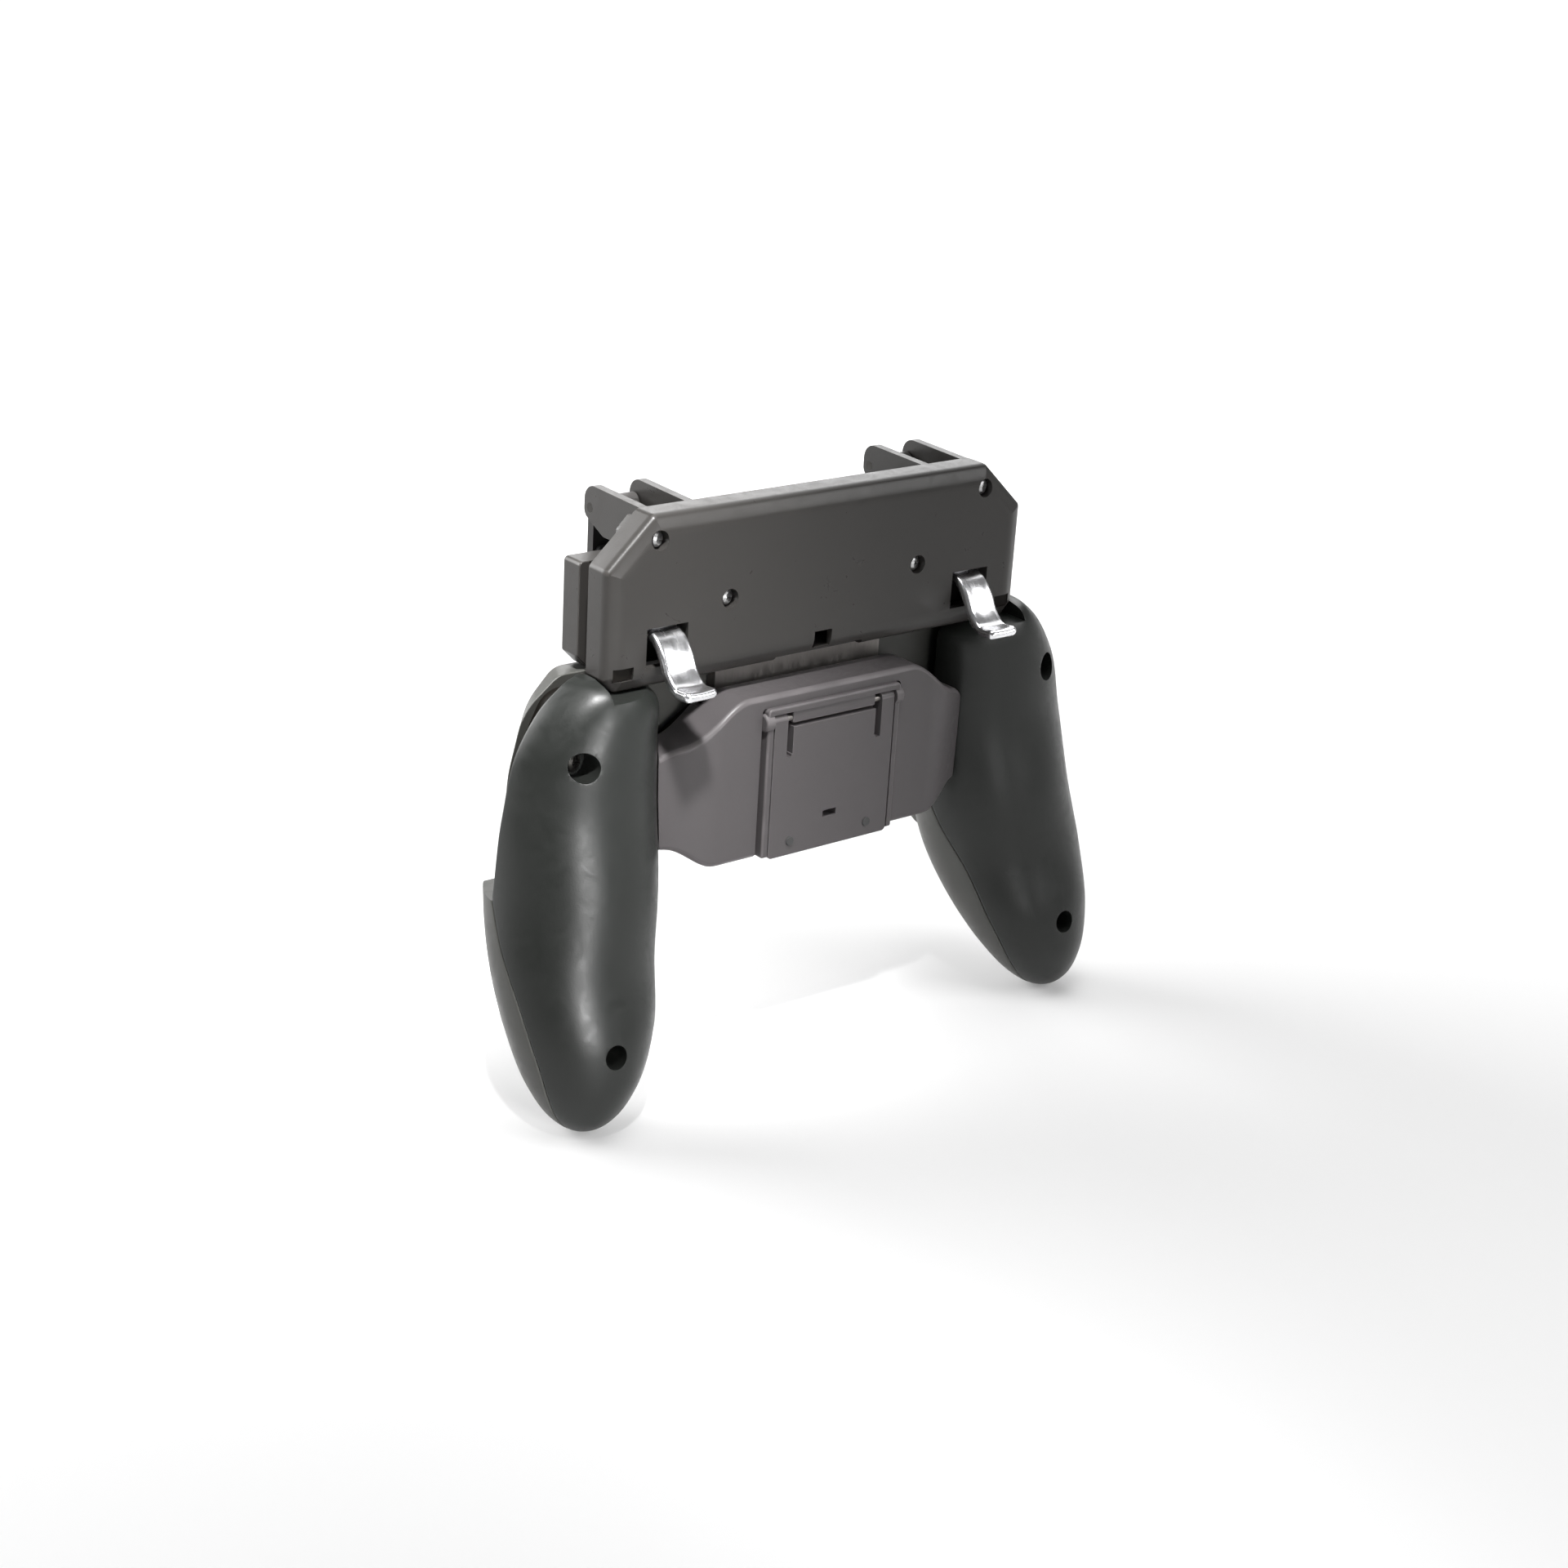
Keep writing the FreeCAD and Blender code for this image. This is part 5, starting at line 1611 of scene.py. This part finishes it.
@dataclass
class Lever:
    """Finger lever: a curved polished blade with a dished face, its hub and the nose inside the box."""

    centre_x: float = 40.0
    width: float = 7.6
    root_thickness: float = 2.4
    tip_thickness: float = 2.2
    edge_radius: float = 0.9
    tip_steps: int = 5
    hub_radius: float = 2.5
    hub_edge: float = 0.4
    bore_radius: float = 1.05
    dish: float = 0.35
    dish_steps: int = 8
    nose_x: Point2 = (0.2, 3.4)
    nose_half: float = 1.2
    nose_round: float = 1.15
    push_point: Point2 = (3.09, 30.33)
    path: tuple[Point2, ...] = (
        (1.0, -1.9),
        (5.0, -3.3),
        (7.4, -5.7),
        (9.5, -9.2),
        (12.7, -11.7),
        (16.1, -11.6),
    )
    rows: int = 44

    def blade(self) -> bpy.types.Object:
        """Blade swept along its path from the pivot, with round edges and a round tip."""
        table = np.array(self.path) + np.array(TRIGGER_PIVOT)
        knots = np.concatenate([[0.0], np.cumsum(np.linalg.norm(np.diff(table, axis=0), axis=1))])
        at = np.linspace(0.0, knots[-1], self.rows)
        line = spline(knots, table, at)
        tangents = np.gradient(line, at, axis=0)
        tangents /= np.linalg.norm(tangents, axis=1)[:, None]
        tip_run = self.tip_thickness / 2
        rings = []
        for row in range(self.rows):
            share = row / (self.rows - 1)
            thick = self.root_thickness * (1 - share) + self.tip_thickness * share
            rings.append(self.section(line[row], tangents[row], thick, 0.0))
        for k in range(1, self.tip_steps + 1):
            angle = math.pi / 2 * k / self.tip_steps
            centre = line[-1] + tangents[-1] * tip_run * math.sin(angle)
            thick = self.tip_thickness * max(math.cos(angle), 0.04)
            rings.append(self.section(centre, tangents[-1], thick, tip_run * (1 - math.cos(angle))))
        return skin("blade", rings)

    def section(self, centre: np.ndarray, along: np.ndarray, thick: float, narrow: float) -> list[Point3]:
        """Rounded section across the blade.

        Args:
            centre: Middle of the section (y, z).
            along: Unit direction of the blade there.
            thick: Thickness in millimetres.
            narrow: How much the section draws in at each edge.

        Returns:
            Ring of points, with the finger's side dished.
        """
        up = np.array([-along[1], along[0]])
        half = self.width / 2 - narrow
        edge = min(thick / 2, self.edge_radius)
        corners = ((-half, -thick / 2), (half, -thick / 2), (half, thick / 2), (-half, thick / 2))
        shape = Outline([(u, v, edge) for u, v in corners], 5)
        found = []
        for u, v in self.filled(shape.points()):
            dished = self.dish * (1 - (u / half) ** 2) * (1 if v > 0 else 0)
            sunk = v - dished * min(1.0, thick / self.tip_thickness)
            spot = centre + up * sunk
            found.append((self.centre_x + u, spot[0], spot[1]))
        return found

    def filled(self, points: Sequence[Point2]) -> list[Point2]:
        """Add points along the two long sides so that the dish bends smoothly.

        Args:
            points: Points round the section.

        Returns:
            The same points with the new ones between them.
        """
        found: list[Point2] = []
        count = len(points)
        for k in range(count):
            here, after = points[k], points[(k + 1) % count]
            found.append(here)
            if abs(after[0] - here[0]) > 2.0:
                for step in range(1, self.dish_steps):
                    share = step / self.dish_steps
                    between_u = here[0] + (after[0] - here[0]) * share
                    found.append((between_u, here[1] + (after[1] - here[1]) * share))
        return found

    def nose(self, low: float, high: float) -> bpy.types.Object:
        """Arm from the hub to where it pushes the touch arm's tail.

        Args:
            low: Its inner face.
            high: Its outer face.

        Returns:
            The arm.
        """
        y0, z0 = TRIGGER_PIVOT
        y1, z1 = self.push_point
        run = math.hypot(y1 - y0, z1 - z0)
        along = ((y1 - y0) / run, (z1 - z0) / run)
        side = (-along[1], along[0])
        reach = self.nose_half
        corners = []
        for shift, across in ((0.0, 1), (0.0, -1), (run + reach, -1), (run + reach, 1)):
            y = y0 + along[0] * shift + side[0] * across * reach
            z = z0 + along[1] * shift + side[1] * across * reach
            corners.append((y, z, self.nose_round if shift else 0.0))
        return plate("nose", Outline(corners), Plane.YZ, straight(low, high))

    def build(self) -> None:
        """Make both levers from a blade, a hub and a nose, and dress them."""
        blade = self.blade()
        low, high = self.centre_x - self.width / 2, self.centre_x + self.width / 2
        profile = round_profile(low, high, self.hub_edge, self.hub_edge, 3)
        hub = turned("hub", self.hub_radius, Plane.YZ, TRIGGER_PIVOT, profile)
        nose = self.nose(low + self.nose_x[0], low + self.nose_x[1])
        carve(blade, Cut.ADD, hub)
        carve(blade, Cut.ADD, nose)
        bore = turned("bore", self.bore_radius, Plane.YZ, TRIGGER_PIVOT, straight(low - 1, high + 1), 32)
        carve(blade, Cut.TAKE, bore)
        blade.name = "right_lever"
        other = mirrored_copy(blade, "left_lever")
        for side, piece in ((Side.RIGHT, blade), (Side.LEFT, other)):
            shade(piece, 40.0)
            dress(piece, POLISHED, side.prefix + "trigger", "polished_metal", side.prefix + "trigger")


@dataclass
class TouchArms:
    """Arms with soft pads that swing onto the held device."""

    rounding: float = 0.3

    def build(self) -> None:
        """Round the CAD shapes and dress them."""
        for side in Side:
            body = side.prefix + "touch_arm"
            arm = refined(body, side.prefix + "swing_arm", self.rounding)
            dress(arm, ARM_PLASTIC, body, "arm_plastic", body)
            node = side.prefix + "touch_pad"
            pad = refined(node, side.prefix + "tap_pad", self.rounding)
            dress(pad, BLACK_RUBBER, body, "black_rubber", node)


@dataclass
class Kickstand:
    """Folding leaf with rubber feet."""

    slot_start: float = 11.3
    slot_width: float = 1.3
    slot_length: float = 8.2

    def build(self) -> None:
        """Round the CAD shapes and dress them."""
        leaf = refined("kickstand_leaf", "folding_leaf", 0.16)
        slots = []
        for side in Side:
            low, high = side.span(self.slot_start, self.slot_start + self.slot_width)
            slots.append(bar("slot", (low, 10.0, HINGE[1] - self.slot_length), (high, 30.0, 10.0)))
        carve(leaf, Cut.TAKE, *slots)
        shade(leaf)
        dress(leaf, COVER_PLASTIC, "kickstand", "shell_plastic", "kickstand_leaf")
        feet = refined("kickstand_feet", "leaf_feet", 0.2)
        dress(feet, BLACK_RUBBER, "kickstand", "black_rubber", "kickstand_feet")


@dataclass
class LedgePads:
    """Rubber pads on the two ledges."""

    rounding: float = 0.25

    def build(self) -> None:
        """Round the CAD shapes and dress them."""
        for side in Side:
            node = side.prefix + "ledge_pad"
            pad = refined(node, side.prefix + "ledge_rubber", self.rounding)
            dress(pad, BLACK_RUBBER, "housing", "black_rubber", node)


def geometry_tree(name: str, inputs: Sequence[tuple[str, float]]) -> bpy.types.NodeTree:
    """Start a geometry node tree.

    Args:
        name: Name of the tree.
        inputs: Name and default of each size.

    Returns:
        The tree, with points and a material as its other inputs and nodes named "in" and "out".
    """
    tree = bpy.data.node_groups.new(name, "GeometryNodeTree")
    tree.interface.new_socket("Geometry", in_out="INPUT", socket_type="NodeSocketGeometry")
    for label, default in inputs:
        socket = tree.interface.new_socket(label, in_out="INPUT", socket_type="NodeSocketFloat")
        socket.default_value = default
    tree.interface.new_socket("Material", in_out="INPUT", socket_type="NodeSocketMaterial")
    tree.interface.new_socket("Geometry", in_out="OUTPUT", socket_type="NodeSocketGeometry")
    tree.nodes.new("NodeGroupInput").name = "in"
    tree.nodes.new("NodeGroupOutput").name = "out"
    return tree


def end_tree(tree: bpy.types.NodeTree, shape: bpy.types.NodeSocket, turn: Point3 = (0.0, 0.0, 0.0)) -> None:
    """Put a shape on each point of a geometry tree, make the copies real and give them the material.

    Args:
        tree: Tree to finish.
        shape: Socket with the shape.
        turn: Turn of each copy about X, Y and Z, in degrees.
    """
    source = tree.nodes["in"].outputs
    spots = tree.nodes.new("GeometryNodeInstanceOnPoints")
    spots.inputs["Rotation"].default_value = [math.radians(angle) for angle in turn]
    feed_all(tree, spots, {"Points": source["Geometry"], "Instance": shape})
    real = tree.nodes.new("GeometryNodeRealizeInstances")
    feed_all(tree, real, {"Geometry": spots.outputs["Instances"]})
    paint = tree.nodes.new("GeometryNodeSetMaterial")
    feed_all(tree, paint, {"Geometry": real.outputs["Geometry"], "Material": source["Material"]})
    feed_all(tree, tree.nodes["out"], {"Geometry": paint.outputs["Geometry"]})


def boolean_node(
    tree: bpy.types.NodeTree,
    cut: Cut,
    tools: Sequence[bpy.types.NodeSocket],
    target: Optional[bpy.types.NodeSocket] = None,
) -> bpy.types.NodeSocket:
    """Combine solids in a geometry tree.

    Args:
        tree: Tree that gets the node.
        cut: What the tools do.
        tools: Sockets with the solids.
        target: Socket with the solid that is cut; none for a union.

    Returns:
        Socket with the result.
    """
    node = tree.nodes.new("GeometryNodeMeshBoolean")
    node.operation = cut.value
    node.solver = "EXACT"
    if target is not None:
        tree.links.new(target, node.inputs[0])
    for tool in tools:
        tree.links.new(tool, node.inputs[1])
    return node.outputs["Mesh"]


def lifted(
    tree: bpy.types.NodeTree, shape: bpy.types.NodeSocket, height: bpy.types.NodeSocket
) -> bpy.types.NodeSocket:
    """Move a shape of a geometry tree along its own Z.

    Args:
        tree: Tree that gets the nodes.
        shape: Socket with the shape.
        height: Socket with the distance.

    Returns:
        Socket with the moved shape.
    """
    vector = tree.nodes.new("ShaderNodeCombineXYZ")
    feed_all(tree, vector, {"Z": height})
    move = tree.nodes.new("GeometryNodeTransform")
    feed_all(tree, move, {"Geometry": shape, "Translation": vector.outputs[0]})
    return move.outputs["Geometry"]


def grow(name: str, tree: bpy.types.NodeTree, points: Points, values: dict[str, object]) -> bpy.types.Object:
    """Run a geometry tree on a set of points and keep the plain mesh.

    Args:
        name: Name of the piece.
        tree: Geometry node tree.
        points: Points in millimetres that the tree works on.
        values: Value of each named input, lengths in millimetres.

    Returns:
        The finished object.
    """
    piece = put(name, plain_mesh(name, points))
    modifier = piece.modifiers.new("grow", "NODES")
    modifier.node_group = tree
    for item in tree.interface.items_tree:
        if item.item_type == "SOCKET" and item.in_out == "INPUT" and item.name in values:
            modifier[item.identifier] = values[item.name]
    bake(piece)
    return piece


@dataclass
class Screws:
    """Pan-head screws with a cross recess, in the box and deep in the grips."""

    sides: int = 36
    shank_sides: int = 24
    shank_radius: float = 1.0
    head_height: float = 1.2
    disc_share: float = 0.6
    crown_share: float = 0.4
    crown_narrowing: float = 0.72
    overlap: float = 0.001
    cross_length: float = 1.15
    cross_width: float = 0.30
    cross_height: float = 1.4
    cross_middle: float = 1.1
    cross_turn: float = 25.0

    def tree(self) -> bpy.types.NodeTree:
        """Geometry tree that puts one screw at each point, its head towards +Y."""
        inputs = [("Head Radius", 1.7), ("Head Height", 1.2), ("Shank Length", 10.0)]
        tree = geometry_tree("cross_head_screws", inputs)
        source = tree.nodes["in"].outputs

        def scaled(factor: float, label: str) -> bpy.types.NodeSocket:
            """Input times a factor."""
            return math_node(tree, "MULTIPLY", source[label], factor)

        def shape(kind: str, values: dict[str, Input]) -> bpy.types.NodeSocket:
            """Add a basic solid.

            Args:
                kind: Type of its node.
                values: Its sizes.

            Returns:
                Socket with the solid.
            """
            node = tree.nodes.new(kind)
            feed_all(tree, node, values)
            return node.outputs["Mesh"]

        radius = source["Head Radius"]
        length = source["Shank Length"]
        disc_height = scaled(self.disc_share, "Head Height")
        crown_height = scaled(self.crown_share, "Head Height")
        top = scaled(self.crown_narrowing, "Head Radius")
        disc = {"Vertices": self.sides, "Radius": radius, "Depth": disc_height}
        crown = {"Vertices": self.sides, "Radius Bottom": radius, "Radius Top": top, "Depth": crown_height}
        shank = {"Vertices": self.shank_sides, "Radius": self.shank_radius * MM, "Depth": length}
        parts = [
            (shape("GeometryNodeMeshCylinder", disc), scaled(self.disc_share / 2, "Head Height")),
            (shape("GeometryNodeMeshCone", crown), scaled(self.disc_share - self.overlap, "Head Height")),
            (shape("GeometryNodeMeshCylinder", shank), scaled(self.overlap - 0.5, "Shank Length")),
        ]
        body = boolean_node(tree, Cut.ADD, [lifted(tree, part, height) for part, height in parts])
        blades = []
        for long_axis, short_axis in (("X", "Y"), ("Y", "X")):
            size = tree.nodes.new("ShaderNodeCombineXYZ")
            feed_all(tree, size, {long_axis: scaled(self.cross_length, "Head Radius")})
            feed_all(tree, size, {short_axis: scaled(self.cross_width, "Head Radius")})
            feed_all(tree, size, {"Z": scaled(self.cross_height, "Head Height")})
            blade = shape("GeometryNodeMeshCube", {"Size": size.outputs[0]})
            blades.append(lifted(tree, blade, scaled(self.cross_middle, "Head Height")))
        cross = boolean_node(tree, Cut.ADD, blades)
        end_tree(tree, boolean_node(tree, Cut.TAKE, [cross], body), (-90.0, 0.0, self.cross_turn))
        return tree

    def seat(
        self, name: str, tree: bpy.types.NodeTree, seats: Points, head_radius: float, length: float
    ) -> bpy.types.Object:
        """Make the screws of one group.

        Args:
            name: Name of the piece.
            tree: The screws' geometry tree.
            seats: Where the heads rest on the right side, in millimetres.
            head_radius: Radius of their heads.
            length: Length of their shanks.

        Returns:
            The screws of both sides in one piece.
        """
        spots = [(side.value * x, y, z) for x, y, z in seats for side in Side]
        sizes = {
            "Head Radius": head_radius * MM,
            "Head Height": self.head_height * MM,
            "Shank Length": length * MM,
            "Material": STEEL.material(),
        }
        piece = grow(name, tree, spots, sizes)
        shade(piece, 30.0, False)
        return piece

    def build(self, box: TriggerBox, handle: Handle) -> None:
        """Seat the screws of the box and of the grips and dress them.

        Args:
            box: Box with its screw wells.
            handle: Grip with its screw recesses.
        """
        tree = self.tree()
        seats = [(x, BOX_REAR - box.well_depth, z) for x, z in box.screws]
        piece = self.seat("box_cross_screws", tree, seats, 1.7, 8.0)
        dress(piece, STEEL, "carriage", "spring_steel", "box_screws")
        seats = [(x, depth, z) for x, z, _, depth in (handle.screw_upper, handle.screw_lower)]
        piece = self.seat("grip_cross_screws", tree, seats, 2.1, 11.0)
        # The grip screws are darkened to paint the shade in their deep wells
        dress(piece, STEEL_DARKENED_AS_SHADE, "housing", "spring_steel", "grip_screws")


@dataclass
class Coils:
    """Wound springs: two that close the clamp and two round the trigger pins."""

    wire: float = 0.25
    radius: float = 1.75
    turns: float = 15.0
    low_z: float = -24.1
    high_z: float = -12.2
    x: float = 14.0
    y: float = 12.0
    lever_wire: float = 0.22
    lever_radius: float = 1.72
    lever_turns: float = 2.25
    lever_width: float = 0.9
    lever_x: float = 34.85

    def tree(self) -> bpy.types.NodeTree:
        """Geometry tree that winds a wire into a coil along Z at each point."""
        inputs = [("Radius", 1.75), ("Height", 10.0), ("Turns", 10.0), ("Wire", 0.25)]
        tree = geometry_tree("wound_coil", inputs)
        source = tree.nodes["in"].outputs
        spiral = tree.nodes.new("GeometryNodeCurveSpiral")
        radius = source["Radius"]
        feed_all(tree, spiral, {"Resolution": 24, "Rotations": source["Turns"], "Height": source["Height"]})
        feed_all(tree, spiral, {"Start Radius": radius, "End Radius": radius})
        circle = tree.nodes.new("GeometryNodeCurvePrimitiveCircle")
        feed_all(tree, circle, {"Resolution": 10, "Radius": source["Wire"]})
        wire = tree.nodes.new("GeometryNodeCurveToMesh")
        feed_all(tree, wire, {"Curve": spiral.outputs["Curve"], "Profile Curve": circle.outputs["Curve"]})
        feed_all(tree, wire, {"Fill Caps": True})
        end_tree(tree, wire.outputs["Mesh"])
        return tree

    def clamp_spring(self, side: Side, tree: bpy.types.NodeTree) -> None:
        """Wind one return spring between the housing and the carriage.

        Args:
            side: Side that it is on.
            tree: The coils' geometry tree.
        """
        sizes = {
            "Radius": self.radius * MM,
            "Height": (self.high_z - self.low_z) * MM,
            "Turns": self.turns,
            "Wire": self.wire * MM,
            "Material": STEEL.material(),
        }
        x = side.value * self.x
        coil = grow(side.prefix + "clamp_coil", tree, [(x, self.y, self.low_z)], sizes)
        shade(coil, 60.0, False)
        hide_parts(side.prefix + "return_spring")
        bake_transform(coil)
        LOG.info("%s: %d faces between housing and carriage", coil.name, len(coil.data.polygons))

    def lever_spring(self, side: Side, tree: bpy.types.NodeTree) -> None:
        """Wind one torsion spring round a trigger's pin.

        Args:
            side: Side that it is on.
            tree: The coils' geometry tree.
        """
        sizes = {
            "Radius": self.lever_radius * MM,
            "Height": self.lever_width * MM,
            "Turns": self.lever_turns,
            "Wire": self.lever_wire * MM,
            "Material": STEEL.material(),
        }
        coil = grow(side.prefix + "lever_coil", tree, [(0.0, 0.0, 0.0)], sizes)
        start = side.span(self.lever_x, self.lever_x + self.lever_width)[0]
        move = Matrix.Translation(Vector((start, *TRIGGER_PIVOT)) * MM)
        coil.data.transform(move @ Matrix.Rotation(math.radians(90), 4, "Y"))
        shade(coil, 60.0, False)
        dress(coil, STEEL, "carriage", "spring_steel", side.prefix + "trigger_spring")

    def build(self) -> None:
        """Wind the springs and seat them, and dress the trigger springs."""
        tree = self.tree()
        for side in Side:
            self.clamp_spring(side, tree)
            self.lever_spring(side, tree)


@dataclass
class PlainNodes:
    """CAD nodes whose shape is right as it is: each gets its finish."""

    finishes: dict[str, Finish] = field(
        default_factory=lambda: {
            "mid_frame": CORE_PLASTIC,
            "carriage_core": CORE_PLASTIC,
            "slide_plate": DARK_STEEL,
            "kickstand_pins": DARK_STEEL,
            "right_trigger_pin": STEEL,
            "left_trigger_pin": STEEL,
            # The touch pins' ends are darkened to paint the shade of a pin hole
            "right_touch_pin": STEEL_DARKENED_AS_SHADE,
            "left_touch_pin": STEEL_DARKENED_AS_SHADE,
        }
    )

    def build(self, nodes: dict[str, bpy.types.Object]) -> None:
        """Put each node's material in its object's slots.

        Args:
            nodes: The frame's objects by node.
        """
        for name, finish in self.finishes.items():
            node = nodes[name]
            node.data.materials.clear()
            node.data.materials.append(finish.material())
            LOG.info("%s: CAD shape with %s", name, finish.name)


@dataclass(frozen=True)
class Lamp:
    """Light that the camera doesn't see: place and target in metres, power in watts."""

    name: str
    location: Point3
    target: Point3
    power: float

    def bulb(self) -> bpy.types.Light:
        """Make the light itself; each kind of lamp has its own."""
        raise NotImplementedError

    def hang(self) -> None:
        """Put the lamp in its place, aimed at its target."""
        data = self.bulb()
        data.energy = self.power
        lamp = put(self.name, data)
        lamp.location = self.location
        aim = Vector(self.target) - Vector(self.location)
        lamp.rotation_mode = "QUATERNION"
        lamp.rotation_quaternion = aim.to_track_quat("-Z", "Y")
        lamp.visible_camera = False


@dataclass(frozen=True)
class SoftBox(Lamp):
    """Rectangular light: width and height in metres, opening of its beam in degrees."""

    size: Point2
    spread: float = 180.0

    def bulb(self) -> bpy.types.Light:
        """Make the light itself."""
        data = bpy.data.lights.new(self.name, "AREA")
        data.spread = math.radians(self.spread)
        data.shape = "RECTANGLE"
        data.size, data.size_y = self.size
        return data


@dataclass(frozen=True)
class Spot(Lamp):
    """Soft-edged spot: full opening in degrees, radius of its bulb in metres."""

    cone: float
    radius: float = 0.03

    def bulb(self) -> bpy.types.Light:
        """Make the light itself."""
        data = bpy.data.lights.new(self.name, "SPOT")
        data.spot_size = math.radians(self.cone)
        data.spot_blend = 1.0
        data.shadow_soft_size = self.radius
        return data


# Lamps of the studio; most of them aim at the object's middle
MIDDLE = (0.0, 0.01, -0.01)
LAMPS = (
    SoftBox("overhead", (0.0, 0.02, 0.95), MIDDLE, 0.9, (0.5, 0.5), 90.0),
    SoftBox("behind_right", (-0.53, -0.65, 0.34), MIDDLE, 2.8, (0.7, 0.4)),
    SoftBox("behind_left", (0.42, -0.62, 0.30), MIDDLE, 8.0, (0.60, 0.48)),
    SoftBox("back_box", (0.08, 0.37, 0.03), (0.062, 0.03, -0.035), 0.060, (0.10, 0.13), 36.0),
    SoftBox("right_high", (-0.50, 0.55, 0.38), MIDDLE, 2.6, (0.5, 0.4)),
    SoftBox("top_right", (-0.50, -0.25, 0.65), MIDDLE, 1.2, (0.6, 0.5)),
    Spot("box_spot", (0.196, 0.226, 0.58), (0.050, 0.016, 0.048), 60.0, 10.0),
    Spot("shoulder_spot", (-0.15, 0.50, 0.10), (-0.046, 0.02, 0.008), 4.0, 9.0, 0.07),
)


@dataclass
class Studio:
    """Pale floor, soft lights and the camera at the photograph's angle; lengths in metres."""

    yaw: float = 39.55
    pitch: float = 21.66
    roll: float = 3.50
    location: Point3 = (0.3280, 0.4034, 0.1835)
    lens: float = 59.27
    sensor: float = 36.0
    seen_from: float = 0.01
    seen_to: float = 20.0
    floor_z: float = -0.0762
    floor_half: float = 6.0
    sky: float = 0.14

    def camera(self) -> None:
        """Place the camera."""
        yaw, pitch, roll = (math.radians(v) for v in (self.yaw, self.pitch, self.roll))
        back = Vector((math.sin(yaw) * math.cos(pitch), math.cos(yaw) * math.cos(pitch), math.sin(pitch)))
        right = (-back).cross(Vector((0, 0, 1))).normalized()
        up = right.cross(-back)
        turned_right = right * math.cos(roll) + up * math.sin(roll)
        turned_up = up * math.cos(roll) - right * math.sin(roll)
        data = bpy.data.cameras.new("camera")
        data.lens = self.lens
        data.sensor_width = self.sensor
        data.clip_start = self.seen_from
        data.clip_end = self.seen_to
        camera = put("camera", data)
        turn = Matrix((turned_right, turned_up, back)).transposed().to_4x4()
        camera.matrix_world = Matrix.Translation(Vector(self.location)) @ turn
        bpy.context.scene.camera = camera

    def floor(self) -> None:
        """Lay the pale floor, which glows behind the object so that it ends in white."""
        half = self.floor_half
        corners = [(-half, -half), (half, -half), (half, half), (-half, half)]
        mesh = bpy.data.meshes.new("floor")
        mesh.from_pydata([(x, y, self.floor_z) for x, y in corners], [], [(0, 1, 2, 3)])
        floor = put("floor", mesh)
        yaw = math.radians(self.yaw)
        ground = PaleGround("pale_floor", (0.70, 0.70, 0.70), 0.9, (-math.sin(yaw), -math.cos(yaw), 0.0))
        floor.data.materials.append(ground.material())

    def world(self) -> None:
        """Set a pale surrounding light and show colours as they are."""
        world = bpy.data.worlds.new("studio")
        world.use_nodes = True
        sky = world.node_tree.nodes["Background"]
        feed_all(world.node_tree, sky, {"Color": WHITE, "Strength": self.sky})
        bpy.context.scene.world = world
        bpy.context.scene.view_settings.view_transform = "Standard"

    def build(self) -> None:
        """Set up the whole studio."""
        self.camera()
        self.floor()
        self.world()
        for lamp in LAMPS:
            lamp.hang()


def main() -> None:
    """Load the frame, build every sub-assembly and set up the studio."""
    logging.basicConfig(level=logging.INFO, format="%(name)s: %(message)s")
    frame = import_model()
    handle = Handle()
    box = TriggerBox()
    handle.build()
    FrontPlate().build()
    CentreCover().build(handle)
    box.build()
    Carriage().build()
    Lever().build()
    TouchArms().build()
    Kickstand().build()
    LedgePads().build()
    Screws().build(box, handle)
    Coils().build()
    PlainNodes().build(frame["nodes"])
    Studio().build()


if __name__ == "__main__":
    main()
